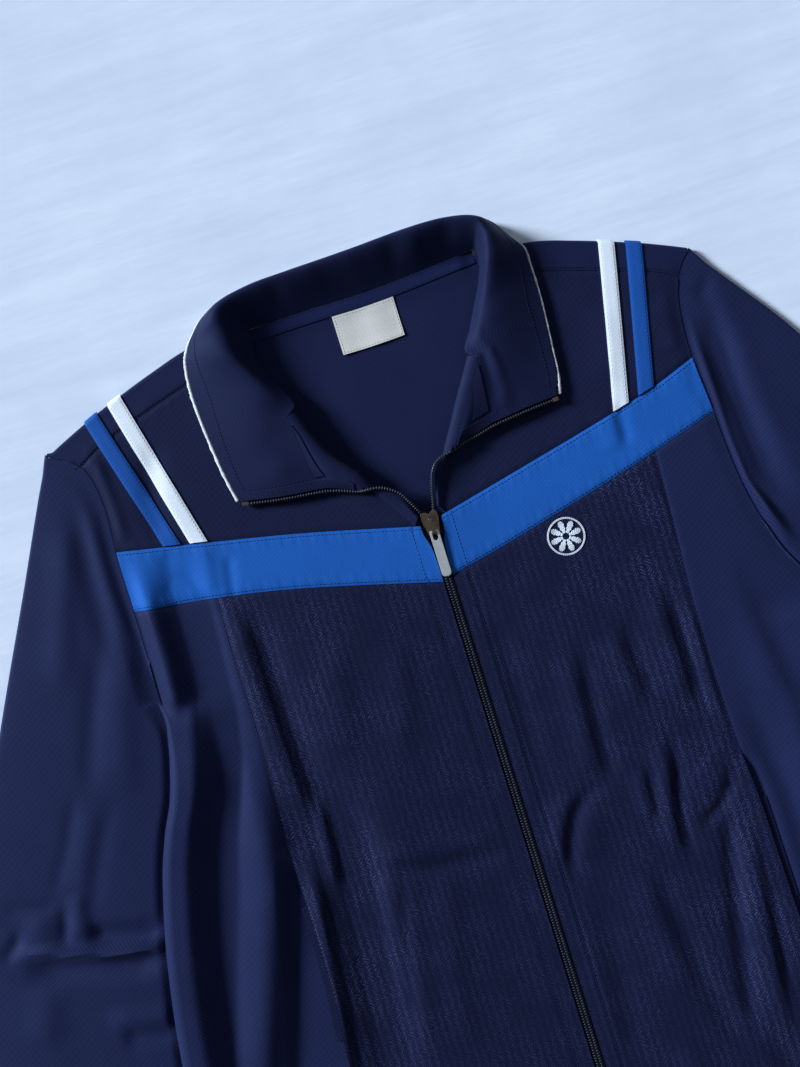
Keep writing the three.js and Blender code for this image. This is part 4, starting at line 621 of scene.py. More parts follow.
def embossed_knit(name, ground, dash_highlight):
    """Columns 5.4 mm wide, in which groups of short dashes lean left and right by turns. The real dashes
    are 1.5 mm apart, and these are 2.1 mm apart, as close as the render can show. The dashes are
    painted lighter than the ground, a painted highlight on their raised faces, and get a bump as well."""
    made, tree, shader = blank_material(name)
    drift = node(tree, "ShaderNodeTexNoise", {"Vector": grain_axes(tree, 7, 7), "Scale": 1.0, "Detail": 1.0}).outputs[1]
    drift = node(tree, "ShaderNodeVectorMath", {0: drift, 1: (3.6, 3.6, 0), 2: grain_axes(tree, 1, 1)}, operation="MULTIPLY_ADD").outputs[0]
    parts = node(tree, "ShaderNodeSeparateXYZ", {0: drift})
    column = node(tree, "ShaderNodeMath", {0: parts.outputs[0], 1: 5.4}, operation="DIVIDE").outputs[0]
    number = node(tree, "ShaderNodeMath", {0: column}, operation="FLOOR").outputs[0]
    shift = node(tree, "ShaderNodeTexWhiteNoise", {"W": number}, noise_dimensions="1D").outputs[0]
    level = node(tree, "ShaderNodeMath", {0: parts.outputs[1], 1: 1 / 7.4, 2: shift}, operation="MULTIPLY_ADD").outputs[0]
    group = node(tree, "ShaderNodeMath", {0: level}, operation="FLOOR").outputs[0]
    both = node(tree, "ShaderNodeMath", {0: group, 1: number}, operation="ADD").outputs[0]
    lean = node(tree, "ShaderNodeMath", {0: node(tree, "ShaderNodeMath", {0: both, 1: math.pi}, operation="MULTIPLY").outputs[0]}, operation="COSINE").outputs[0]
    from_left = node(tree, "ShaderNodeMath", {0: column}, operation="FRACT").outputs[0]
    from_left = node(tree, "ShaderNodeMath", {0: from_left, 1: 0.5}, operation="SUBTRACT").outputs[0]
    slant = node(tree, "ShaderNodeMath", {0: node(tree, "ShaderNodeMath", {0: from_left, 1: lean}, operation="MULTIPLY").outputs[0], 1: 4.6, 2: parts.outputs[1]}, operation="MULTIPLY_ADD").outputs[0]
    stroke = node(tree, "ShaderNodeMath", {0: node(tree, "ShaderNodeMath", {0: slant, 1: 2 * math.pi / 2.1}, operation="MULTIPLY").outputs[0]}, operation="SINE").outputs[0]
    middle = node(tree, "ShaderNodeMath", {0: node(tree, "ShaderNodeMath", {0: from_left, 1: 2 * math.pi}, operation="MULTIPLY").outputs[0]}, operation="COSINE").outputs[0]
    uneven = node(tree, "ShaderNodeTexNoise", {"Vector": grain_axes(tree, 1.9, 1.6), "Scale": 1.0, "Detail": 1.0}).outputs[0]
    worn = node(tree, "ShaderNodeTexNoise", {"Vector": grain_axes(tree, 26, 34), "Scale": 1.0, "Detail": 2.0}).outputs[0]
    shaped = node(tree, "ShaderNodeMath", {0: middle, 1: 0.4, 2: stroke}, operation="MULTIPLY_ADD").outputs[0]
    broken = node(tree, "ShaderNodeMath", {0: uneven, 1: 3.2, 2: shaped}, operation="MULTIPLY_ADD").outputs[0]
    mask = node(tree, "ShaderNodeMapRange", {0: broken, 1: 1.9, 2: 2.9, 3: 0, 4: 1}, interpolation_type="SMOOTHSTEP").outputs[0]
    # The noise called worn is not wear: it varies at random how strongly the dashes' painted highlight shows, and the
    # highlight grows towards the princess seams.
    strength = node(tree, "ShaderNodeMapRange", {0: worn, 1: 0.38, 2: 0.68, 3: 0.2, 4: 0.75}).outputs[0]
    width = node(tree, "ShaderNodeMath", {0: parts.outputs[0]}, operation="ABSOLUTE").outputs[0]
    nearer = node(tree, "ShaderNodeMapRange", {0: width, 1: 70, 2: 140, 3: 0.6, 4: 1.2}).outputs[0]
    strength = node(tree, "ShaderNodeMath", {0: strength, 1: nearer}, operation="MULTIPLY").outputs[0]
    dash_highlight_mask = node(tree, "ShaderNodeMath", {0: mask, 1: strength}, operation="MULTIPLY").outputs[0]
    fuzz = node(tree, "ShaderNodeTexNoise", {"Vector": grain_axes(tree, 0.8, 0.8), "Scale": 1.0, "Detail": 3.0, "Roughness": 0.7})
    # The dashes take the lighter colour: a painted highlight on their raised faces.
    colour = node(tree, "ShaderNodeMix", {0: dash_highlight_mask, 6: hexed(ground), 7: hexed(dash_highlight)}, data_type="RGBA")
    speck = node(tree, "ShaderNodeMapRange", {0: fuzz.outputs[0], 1: 0.25, 2: 0.75, 3: 0.7, 4: 1.3})
    tinted = node(tree, "ShaderNodeMix", {0: 1.0, 6: colour.outputs[2], 7: speck.outputs[0]}, data_type="RGBA", blend_type="MULTIPLY")
    tree.links.new(tinted.outputs[2], shader.inputs["Base Color"])
    height = node(tree, "ShaderNodeMath", {0: fuzz.outputs[0], 1: 0.4, 2: dash_highlight_mask}, operation="MULTIPLY_ADD")
    bump = node(tree, "ShaderNodeBump", {"Height": height.outputs[0], "Strength": 0.6, "Distance": 0.14 * MM})
    tree.links.new(bump.outputs[0], shader.inputs["Normal"])
    shader.inputs["Roughness"].default_value = 0.66
    shader.inputs["Specular IOR Level"].default_value = 0.3
    shader.inputs["Specular Tint"].default_value = hexed("#8890bc")
    shader.inputs["Sheen Weight"].default_value = 0.16
    shader.inputs["Sheen Roughness"].default_value = 0.45
    shader.inputs["Sheen Tint"].default_value = hexed("#8890bc")
    return made


# In each knit the second colour is the one painted on the rib's crests, a painted highlight.
NAVY = knit("navy double knit, brushed face", "#12152b", "#1b203e")
SLEEVE_NAVY = knit("navy double knit, sleeves", "#181d39", "#22284b")
INSIDE_NAVY = knit("navy double knit, smooth inner face", "#131730", "#1b203e", pitch=1.5, rib_depth=0.05)
BACK_NAVY = knit("navy double knit, inside of the back", "#151937", "#1b203e", pitch=1.4, turn=0.0, rib_depth=0.04)
# The second colour of the embossed knit is the dashes' painted highlight.
EMBOSSED = embossed_knit("navy knit embossed with dashes", "#12152d", "#41466e")
BAND = knit("mid-blue knit", "#17509a", "#2261b4", pitch=1.4, sheen=0.1, sheen_tint="#9fc0f0", cloudy=0.06)
STRIPE = knit("mid-blue knit stripe", "#17478f", "#1f55a2", pitch=1.4, sheen=0.1, sheen_tint="#9fc0f0", cloudy=0.06)
WHITE = knit("white knit stripe", "#dfe3e8", "#f4f6f8", pitch=1.3, rib_depth=0.08, sheen=0.1, sheen_tint="#ffffff", cloudy=0.04)
TAPE = knit("navy twill tape", "#0e1230", "#202850", pitch=1.1, rib_depth=0.08)
print("looks so far:", [m.name for m in bpy.data.materials])

# %% [markdown]
# ## Back panel
# The back is one piece that runs up the inside, over both shoulders and down to a seam in front of
# them. Only its shoulders and the inside of its neck show, but it carries everything else.

# %% Back panel
def half_round(x, y, out_x, out_y, start, end, t):
    swing = np.sin(np.pi * t) * np.abs(start - end) / 2
    return x + out_x * swing, y + out_y * swing, mix(start, end, (1 - np.cos(np.pi * t)) / 2)


def back_bottom(x, y):
    rise = NECK_RISE * smooth((y - 652) / 16) * smooth((NECK_X - 4 - np.abs(x)) / 8)
    return np.where(x < 0, lift(SIDES["R"], np.abs(x), y), lift(SIDES["L"], np.abs(x), y)) + rise


def wrap_neck(side, y):
    seam_x = float(side["neck_side_at"](forward_seam_at(NECK_X)))
    return mix(NECK_X, seam_x, smooth((fold_at(NECK_X) - SHOULDER_RADIUS - y) / 13))


def wrap_plan(side, share, v):
    return between(lambda y: wrap_neck(side, y), lambda y: outer_edge(side, y), lambda x: fold_at(x) - SHOULDER_RADIUS,
                   lambda x: forward_seam_at(x) + SEAM / 2, share, v)


def back_patches():
    left, right = (lambda y: -outer_edge(SIDES["R"], y)), (lambda y: outer_edge(SIDES["L"], y))
    shares = spaced(140, 4)
    columns = {}
    for name, side in SIDES.items():
        x, y = wrap_plan(side, shares, np.zeros_like(shares))
        columns[name] = (side["sign"] * x - left(y)) / (right(y) - left(y))
    shoulder_r, shoulder_l = columns["R"][::-1], columns["L"]
    middle = np.linspace(shoulder_r[-1], shoulder_l[0], 40)[1:-1]
    rows = np.concatenate([np.linspace(0, 0.7, 80), np.linspace(0.7, 1, 70)[1:]])

    def place(u, v, shoulder):
        if shoulder:
            upper = lambda x: fold_at(np.abs(x)) - SHOULDER_RADIUS
        else:
            upper = lambda x: np.where(np.abs(x) >= NECK_X, fold_at(np.abs(x)) - SHOULDER_RADIUS, back_neck_at(x) - SEAM / 2)
        x, y = between(left, right, lambda x: np.zeros_like(x), upper, u, v)
        return x, y, back_bottom(x, y)

    patches = []
    for us, shoulder in ((shoulder_r, True), (np.concatenate([shoulder_r[-1:], middle, shoulder_l[:1]]), False), (shoulder_l, True)):
        grid = place_on_grid(us, rows, lambda u, v: place(u, v, shoulder))
        if not shoulder:
            for column, us_end in ((0, shoulder_r[-1]), (-1, shoulder_l[0])):
                grid[column] = place_on_grid([us_end], rows, lambda u, v: place(u, v, True))[0]
        patches.append((grid, True, plan_grain(grid)))
    for name, side in SIDES.items():
        us = shoulder_r if side["sign"] < 0 else shoulder_l
        top = place_on_grid(us, [1.0], lambda u, v: place(u, v, True))[:, 0]
        ts = np.linspace(0, 1, 9)
        height = 2 * CLOTH + AIR_AT_ARMHOLE
        x, y, z = (top[:, None, i] for i in range(3))
        grid = np.stack(np.broadcast_arrays(*half_round(x, y, 0, 1, z, z + height, ts[None, :])), -1)
        flat = np.stack([grid[..., 0] * MM, (y + np.pi * height / 2 * ts[None, :]) * MM], -1)
        patches.append((grid, True, flat))
        share = (np.abs(x) - wrap_neck(side, y)) / (outer_edge(side, y) - wrap_neck(side, y))
        vs = spaced(20, 1.8)
        px, py = wrap_plan(side, *np.broadcast_arrays(share, vs[None, :]))
        gap = py - forward_seam_at(px) - SEAM / 2
        grid = np.stack([side["sign"] * px, py, front_top(side, px, py) + dip(gap) + pucker(gap, px)], -1)
        patches.append((grid, True, plan_grain(grid)))
    return patches


cloth("the_back_panel", back_patches(), BACK_NAVY, CLOTH, replaces=["back_panel"])


# %% [markdown]
# ## Fronts
# A princess seam runs down each front with the pocket in it: below the chest band the outer panel is
# plain knit, rolled under at the side, and the inner one is embossed. The seams draw the cloth in.

# %% Side fronts
def pocket_share(side, y):
    top, bottom = side["pocket"]
    return smooth((top - y) / 22) * smooth((y - bottom) / 22)


def side_plan(side, u, v):
    return between(lambda y: side["princess_at"](y) + SEAM / 2, lambda y: outer_edge(side, y), lambda x: np.zeros_like(x),
                   lambda x: side["band_bottom_at"](x) - SEAM / 2, u, v)


def side_height(side, x, y):
    from_seam = x - side["princess_at"](y)
    mouth = 1 + side["pocket_spread"] * np.clip(side["pocket"][0] - y, 0, 150)
    sunk = pocket_share(side, y) * smooth(1 - (from_seam - mouth) / 10)
    top = front_top(side, x, y) + dip(from_seam) * (1 - pocket_share(side, y)) + dip(side["band_bottom_at"](x) - y)
    top = top + pucker(from_seam, y, 0.15)
    return mix(top, lift(side, x, y) + 2 * CLOTH + 0.6, sunk)


def side_front(name, side):
    rows = spaced(500, 3.4)

    def place(u, v):
        x, y = side_plan(side, u, v)
        return side["sign"] * x, y, side_height(side, x, y)

    grid = place_on_grid(spaced(100, 3.2), rows, place)
    patches = [(grid, side["sign"] < 0, plan_grain(grid))]
    _, edge_y = side_plan(side, np.ones_like(rows), rows)
    rolled = rows[edge_y < side["underarm"] - 1]
    x, y = side_plan(side, np.ones_like(rolled), rolled)
    top, bottom = side_height(side, x, y), lift(side, x, y)
    ts = np.linspace(0, 1, 11)
    rx, ry, rz = half_round(x[None, :], y[None, :], 1, 0, top[None, :], bottom[None, :], ts[:, None])
    rx = rx + np.where(ts[:, None] == 1, SIDE_GAP, 0)
    grid = np.stack([side["sign"] * rx, np.broadcast_to(ry, rx.shape), rz], -1)
    flat = np.stack([(side["sign"] * (x[None, :] + ts[:, None] * np.pi * np.abs(top - bottom) / 2)) * MM, np.broadcast_to(ry, rx.shape) * MM], -1)
    patches.append((grid, side["sign"] < 0, flat))
    cloth("the_side_front_" + name, patches, SLEEVE_NAVY, CLOTH, replaces=["side_front_" + name])


for name, side in SIDES.items():
    side_front(name, side)


# %% Centre fronts
def centre_height(side, x, y):
    from_seam = side["princess_at"](y) - x
    lip = pocket_share(side, y) * smooth(1 - from_seam / 26)
    top = front_top(side, x, y)
    sewn = top + dip(from_seam) * (1 - pocket_share(side, y)) + dip(side["band_bottom_at"](x) - y) + pucker(from_seam, y, 0.15)
    sewn = sewn + dip(np.abs(x - 15), 0.5, 1.0) * smooth((x - 10) / 2)
    return mix(sewn, np.maximum(lift(side, x, y) + 2 * CLOTH + 4.6, top), lip)


def centre_front(name, side):
    def place(u, v):
        x, y = between(zip_edge_at, lambda y: side["princess_at"](y) - SEAM / 2, lambda x: np.zeros_like(x),
                       lambda x: side["band_bottom_at"](x) - SEAM / 2, u, v)
        return side["sign"] * x, y, centre_height(side, x, y)
    across = np.concatenate([[0, 0.7, 1.6, 3], np.linspace(4.5, 20, 16), np.linspace(22.5, 152, 52), [154, 155.2, 156.2]]) / 156.2
    grid = place_on_grid(across, spaced(495, 3.0), place)
    cloth("the_centre_front_" + name, [(grid, side["sign"] < 0, plan_grain(grid))], EMBOSSED, CLOTH,
          replaces=["centre_front_" + name])


for name, side in SIDES.items():
    centre_front(name, side)

# %% [markdown]
# ## Chest band
# Two strips of mid-blue knit make a shallow V across the chest. Both edges are topstitched, which
# pulls small puckers into the strip.

# %% Chest bands
def chest_band(name, side):
    low = lambda x: side["band_bottom_at"](x) + SEAM / 2
    high = lambda x: side["band_top_at"](x) - SEAM / 2

    def place(u, v):
        x, y = between(zip_edge_at, lambda y: outer_edge(side, y), low, high, u, v)
        z = front_top(side, x, y) + 0.35
        for gap in (y - low(x), high(x) - y):
            z = z + dip(gap, 0.7, 1.5) + dip(np.abs(gap - 2.2), 0.22, 0.7) + pucker(gap, x, 0.2)
        return side["sign"] * x, y, z
    grid = place_on_grid(spaced(208, 1.7), spaced(42, 1.3), place)
    cloth("the_chest_band_" + name, [(grid, side["sign"] < 0, plan_grain(grid))], BAND, CLOTH,
          replaces=["chest_band_" + name])


for name, side in SIDES.items():
    chest_band(name, side)

# %% [markdown]
# ## Yokes and lapels
# Above the band each front turns back along a soft roll, so its inner face shows beside the collar.
# Just over the slider the cloth's edge stands up, and from there on it tips over.

# %% Yokes with their lapels
def lapel_tipped(side, base_y, t):
    at = side["lapel_at"]
    x, y = at["x"](base_y), base_y
    z = front_top(side, x, y) + at["rise"](base_y)
    grown = smooth((base_y - side["lapel_from"]) / 40)
    height = mix(4, 6, grown)
    swing, sweep = np.sin(np.pi * np.minimum(t, 1)), 1 - np.cos(np.pi * np.minimum(t, 1))
    roll = (mix(x, at["roll_x"](base_y), swing), mix(y, at["roll_y"](base_y), swing), z + height * sweep / 2)
    edge_z = mix(z + 1.6, 11.3, grown)
    s = np.maximum(t - 1, 0)
    flat = (mix(x, at["zip_x"](base_y), s), mix(y, at["zip_y"](base_y), s), mix(z + height, edge_z, s) + 1.2 * np.sin(np.pi * s) * grown)
    return [np.where(t <= 1, a, b) for a, b in zip(roll, flat)]


def lapel_point(side, base_y, t):
    at = side["lapel_at"]
    above = base_y - side["lapel_from"]
    foot = front_top(side, at["x"](base_y), base_y) + at["rise"](base_y)
    standing = (mix(at["x"](base_y), at["zip_x"](base_y), t / 2), mix(base_y, at["zip_y"](base_y), t / 2),
                foot + mix(2.5, 6, smooth(above / 24)) * np.sin(np.pi * t / 4))
    tipped = smooth((above - 22) / 20)
    return [mix(a, b, tipped) for a, b in zip(standing, lapel_tipped(side, base_y, t))]


def yoke_inner(side, y):
    return np.where(y <= side["lapel_to"], side["lapel_at"]["x"](y), side["neck_side_at"](y))


def yoke_plan(side, u, v):
    return between(lambda y: yoke_inner(side, y), lambda y: outer_edge(side, y), lambda x: side["band_top_at"](x) + SEAM / 2,
                   lambda x: forward_seam_at(x) - SEAM / 2, u, v)


def yoke_turn(side):
    low = side["band_top_at"](side["lapel"][0]["x"])
    high = forward_seam_at(side["neck_side_at"](656))
    return float((side["lapel_to"] - low) / (high - low))


def yoke_height(side, x, y):
    rise = np.where(y <= side["lapel_to"], side["lapel_at"]["rise"](y), mix(side["lapel"][-1]["rise"], 1.5, smooth((y - side["lapel_to"]) / 50)))
    z = front_top(side, x, y) + rise * smooth(1 - (x - yoke_inner(side, y)) / 30)
    for gap in (y - side["band_top_at"](x), forward_seam_at(x) - y):
        z = z + dip(gap) + pucker(gap, x)
    return z


def yoke(name, side):
    turn = yoke_turn(side)
    rows = np.concatenate([np.linspace(0, turn, 52), np.linspace(turn, 1, 30)[1:]])

    def place(u, v):
        x, y = yoke_plan(side, u, v)
        return side["sign"] * x, y, yoke_height(side, x, y)
    front = place_on_grid(spaced(150, 2.6), rows, place)
    turned = rows[:52]
    x0, y0 = yoke_plan(side, np.zeros_like(turned), turned)
    ts = np.concatenate([np.linspace(0, 1, 15), np.linspace(1, 2, 30)[1:]])
    base = np.minimum(y0, side["lapel_to"])
    x, y, z = lapel_point(side, base[None, :] + 0 * ts[:, None], ts[:, None] + 0 * base[None, :])
    x[0], y[0], z[0] = x0, y0, yoke_height(side, x0, y0)
    worn = 0.5 * np.sin(base[None, :] * 0.12 + ts[:, None] * 2.2) * smooth((ts[:, None] - 1) * 2) * smooth((2 - ts[:, None]) * 3)
    back = np.stack([side["sign"] * x, y, z + worn], -1)
    cloth("the_front_yoke_" + name, [(front, side["sign"] < 0, plan_grain(front)), (back, side["sign"] > 0, grain_of(back))], (NAVY, INSIDE_NAVY), CLOTH,
          replaces=["front_yoke_" + name])


for name, side in SIDES.items():
    yoke(name, side)

# %% [markdown]
# ## Shoulder stripes
# Two stripes run from the band over each shoulder, a white one and a blue one. They are sewn on top
# of the yoke, so they take its points and stand a little above it.

# %% Stripes
def stripe_points(side, ends, shares, rows):
    shoulder, band = ends
    low, high = float(side["band_top_at"](band)) + 0.6, float(fold_at(shoulder)) - SHOULDER_RADIUS

    def place(a, v):
        x = np.full(a.shape, float(band)) + a * STRIPE_WIDTH
        for _ in range(14):
            y = mix(side["band_top_at"](x) + 0.6, fold_at(x) - SHOULDER_RADIUS, v)
            x = mix(band, shoulder, (y - low) / (high - low)) + a * STRIPE_WIDTH
        edge = (0.5 - np.abs(a)) * STRIPE_WIDTH
        z = front_top(side, x, y) + 0.15 + dip(edge, 0.45, 0.9) + dip(np.abs(edge - 1.3), 0.15, 0.5)
        return side["sign"] * x, y, z
    return place_on_grid(shares, rows, place)


def stripe(name, side, ends, kind, look):
    shares = np.concatenate([[-0.5, -0.45, -0.4, -0.33], np.linspace(-0.25, 0.25, 5), [0.33, 0.4, 0.45, 0.5]])
    grid = stripe_points(side, ends, shares, np.linspace(0, 1, 64))
    x, y, z = (grid[:, -1, i][:, None] for i in range(3))
    ts = np.linspace(0, 0.5, 6)[None, :]
    height = 2 * CLOTH + AIR_AT_ARMHOLE
    rx, ry, rz = half_round(x, y, 0, 1, z, z - height, ts)
    over = np.stack(np.broadcast_arrays(rx, ry, rz), -1)
    flat = np.stack(np.broadcast_arrays(x * MM, (y + np.pi * height / 2 * ts) * MM), -1)
    cloth(f"the_{kind}_{name}", [(grid, side["sign"] < 0, plan_grain(grid)), (over, side["sign"] < 0, flat)], look, TRIM,
          offset=SEAM + TRIM, replaces=[f"{kind}_{name}"])


for name, side in SIDES.items():
    stripe(name, side, side["white"], "white_stripe", WHITE)
    stripe(name, side, side["blue"], "blue_stripe", STRIPE)

# %% [markdown]
# ## Sleeves
# A sleeve is a flattened tube that hangs from the armhole and runs partly under the body. Its upper
# half carries the folds, a strong one across the elbow above all, and its lower half lies on the floor.

# %% Sleeves
def sleeve_ends(side, s):
    at = side["sleeve_at"]
    return (at["in_x"](s), at["in_y"](s)), (at["out_x"](s), at["out_y"](s))


def sleeve_top(side, s, x, y, at_armhole):
    beyond = np.where(y < side["underarm"], x - side["body_edge_at"](y), x - side["armhole_at"](y))
    shown = smooth((beyond - 0.5) / mix(side["sleeve_ramp"], 6, smooth((side["underarm"] - y) / 25)))
    (ix, iy), (ox, oy) = sleeve_ends(side, s)
    across = np.hypot(x - ix, y - iy) / np.hypot(ox - ix, oy - iy)
    crown = np.sin(np.pi * np.clip(across, 0, 1)) ** 0.6
    folds = fold_height(SLEEVE_FOLDS, side["sign"] * x, y) * smooth((1 - across) / 0.1)
    own = SLEEVE_FLAT + shown * np.maximum(0.5 + SLEEVE_PUFF * crown + folds, -0.8)
    return mix(at_armhole, own, smooth(s / 0.1))


def sleeve(name, side):
    rows = np.concatenate([[0, 0.003, 0.008, 0.014], np.linspace(0.02, 1, 150)])
    tip_y = float(wrap_plan(side, np.array([1.0]), np.array([0.0]))[1][0])
    ring_y = mix(side["underarm"], tip_y, spaced(190, 3.4, 3))
    ring_x = outer_edge(side, ring_y)
    heights = front_top(side, ring_x, ring_y) + dip(np.zeros_like(ring_y), 0.45)
    (ix, iy), (ox, oy) = sleeve_ends(side, 0.0)
    shares = np.linspace(0, 1, len(ring_y))
    across = np.clip((ring_y - iy) / (ring_y[-1] - iy), 0, 1)

    def plan(s, i):
        q = mix(across[i], shares[i], smooth(s * 3))
        (jx, jy), (px, py) = sleeve_ends(side, s)
        span = np.hypot(px - jx, py - jy)
        inset = (SLEEVE_FLAT / 2 + 0.3 * smooth(s / 0.2)) * smooth(s / 0.05) / span
        line = mix(inset, 1 - inset, q)
        fade = (1 - smooth(s / 0.3)) ** 1.5
        bx, by = mix(ix, ox, across[i]), mix(iy, oy, across[i])
        return mix(jx, px, line) + fade * (ring_x[i] + ARMHOLE_GAP - bx), mix(jy, py, line) + fade * (ring_y[i] - by)

    index = np.arange(len(ring_y))
    i, s = np.meshgrid(index, rows, indexing="ij")
    x, y = plan(s, i)
    top = sleeve_top(side, s, x, y, heights[i])
    upper = np.stack([side["sign"] * x, y, top], -1)
    lower = np.stack([side["sign"] * x, y, np.zeros_like(x)], -1)
    grain = plan_grain(upper)
    under = grain * [-1, 1] + [side["sign"] * 0.8, 0]
    patches = [(upper, side["sign"] > 0, grain), (lower, side["sign"] < 0, under)]
    for end in (0, 1):
        a = upper[-1 if end else 0].copy()
        a[:, 0] *= side["sign"]
        (jx, jy), (px, py) = sleeve_ends(side, rows)
        span = np.hypot(px - jx, py - jy)
        away = np.stack([(px - jx) / span, (py - jy) / span], -1)
        out = mix(np.array([0.45, 0.89]), away, smooth(rows / 0.12)[:, None]) if end else -away
        ts = np.linspace(0, 1, 9)[:, None]
        swing = np.sin(np.pi * ts) * a[None, :, 2] / 2
        grid = np.stack([side["sign"] * (a[None, :, 0] + out[None, :, 0] * swing), a[None, :, 1] + out[None, :, 1] * swing,
                         a[None, :, 2] / 2 * (1 + np.cos(np.pi * ts))], -1)
        flat = plan_grain(grid) + np.stack([side["sign"] * (1 if end else -1) * ts * 0.004, 0 * ts], -1)
        patches.append((grid, (side["sign"] > 0) if end else (side["sign"] < 0), flat))
    piece = cloth("the_sleeve_" + name, patches, SLEEVE_NAVY, CLOTH, replaces=["sleeve_" + name])
    print(piece.name, len(piece.data.polygons), "faces")


for name, side in SIDES.items():
    sleeve(name, side)

# %% [markdown]
# ## Collar
# The collar is two layers sewn along a piped edge. It stands up from the neck seam, rolls over and
# lies on the yokes, so each cross section is a curve through the seam, the top of the roll and the edge.

# %% Collar surface
def centripetal(a, b, c, t):
    """The same smooth curve through three points that the CAD uses, for arrays of points."""
    first = t <= 0.5
    w = np.where(first, 2 * t, 2 * t - 1)[..., None]
    p0 = np.where(first[..., None], 2 * a - b, a)
    p1 = np.where(first[..., None], a, b)
    p2 = np.where(first[..., None], b, c)
    p3 = np.where(first[..., None], c, 2 * c - b)
    d0, d1, d2 = (np.sum((q - p) ** 2, -1)[..., None] ** 0.25 for p, q in ((p0, p1), (p1, p2), (p2, p3)))
    m1 = ((p1 - p0) / d0 - (p2 - p0) / (d0 + d1) + (p2 - p1) / d1) * d1
    m2 = ((p2 - p1) / d1 - (p3 - p1) / (d1 + d2) + (p3 - p2) / d2) * d1
    return p1 + m1 * w + (3 * (p2 - p1) - 2 * m1 - m2) * w ** 2 + (2 * (p1 - p2) + m1 + m2) * w ** 3


for side in SIDES.values():
    for part in COLLAR[1:]:
        rows = [row for row in side["collar"] if row[part]]
        side["collar_" + part] = [curve([(row["at"], row[part][axis]) for row in rows]) for axis in range(3)]


def collar_row(side, at):
    """Seam, ridge and edge of the collar, so far along it from its front end."""
    at = np.asarray(at, float)
    ridge, edge = (np.stack([f(at) for f in side["collar_" + part]], -1) for part in ("ridge", "edge"))
    x, y, z = lapel_point(side, np.full(at.shape, float(side["lapel_to"])), np.clip(2 - at / 52, 1, 2))
    leaf = np.stack([x, y, z + CLOTH], -1)
    hidden = np.stack([f(np.maximum(at, 56)) for f in side["collar_seam"]], -1)
    sewn_y = back_neck_at(side["sign"] * hidden[..., 0]) + SEAM / 2
    hidden[..., 1] = mix(hidden[..., 1], np.minimum(hidden[..., 1], sewn_y), smooth((at - 112) / 14))
    seam = mix(leaf, hidden, np.clip((at - 52) / 4, 0, 1)[..., None])
    towards = ridge - seam
    towards = towards / np.linalg.norm(towards, axis=-1, keepdims=True)
    seam = seam + SEAM * towards * (at <= 52)[..., None]
    return seam, ridge, edge


# Dents and soft ridges of the collar: how far along it, how far across, two widths and a height
DENTS = {
    "R": [(20, 0.35, 10, 0.16, 0.7), (70, 0.6, 12, 0.2, -1.1), (95, 0.55, 7, 0.2, 1.2), (112, 0.6, 6, 0.2, -1.6), (165, 0.3, 8, 0.2, -1.2), (190, 0.35, 9, 0.2, 0.8)],
    "L": [(15, 0.25, 8, 0.1, 0.8), (40, 0.12, 22, 0.07, -0.9), (48, 0.28, 26, 0.08, 1.1), (80, 0.6, 10, 0.2, -1.0), (102, 0.55, 7, 0.2, 1.2),
          (122, 0.6, 6, 0.2, -1.5), (150, 0.3, 7, 0.2, -1.3), (172, 0.3, 7, 0.2, 1.0), (188, 0.3, 7, 0.2, -1.2)],
}


def collar_points(stations, across):
    """A point of the collar's inner face. Stations run from the R front end, 0, to the L front end, 434."""
    result = np.empty(stations.shape + (3,))
    for name, side in SIDES.items():
        own = stations <= 217 if name == "R" else stations > 217
        at = stations[own] if name == "R" else 434 - stations[own]
        t = across[own]
        seam, ridge, edge = collar_row(side, at)
        point = centripetal(seam, ridge, edge, t)
        for far, share, w_far, w_share, height in DENTS[name]:
            point[..., 2] += height * np.exp(-((at - far) / w_far) ** 2 - ((t - share) / w_share) ** 2)
        point[..., 2] += 0.35 * np.sin(at * 0.11 + 1.3) * np.sin(np.pi * t)
        point[..., 0] *= side["sign"]
        result[own] = point
    return result


def collar_layer(name, look, offset):
    across = np.concatenate([[0, 0.012, 0.026], np.linspace(0.045, 0.955, 36), [0.975, 0.988, 1]])
    stations = np.concatenate([[0, 0.7, 1.5, 2.6], np.linspace(4, 430, 250), [431.4, 432.5, 433.3, 434]])
    grid = place_on_grid(stations, across, lambda s, t: tuple(np.moveaxis(collar_points(s, t), -1, 0)))
    across_lengths = grain_of(grid)
    flat = np.stack([(stations[:, None] + 0 * across[None, :]) * MM, across_lengths[..., 1]], -1)
    return cloth("the_" + name, [(grid, False, flat)], look, TRIM, offset=offset, replaces=[name])


collar_layer("collar_inner", INSIDE_NAVY, 0.0)
collar_layer("collar_outer", NAVY, -TRIM - SEAM)

# %% [markdown]
# ## Piping, neck tape and label
# White cord piping closes the collar's edge. It has frayed, so its thickness wanders. Inside, a tape
# covers the neck seam, and a blank woven label is sewn just below it.

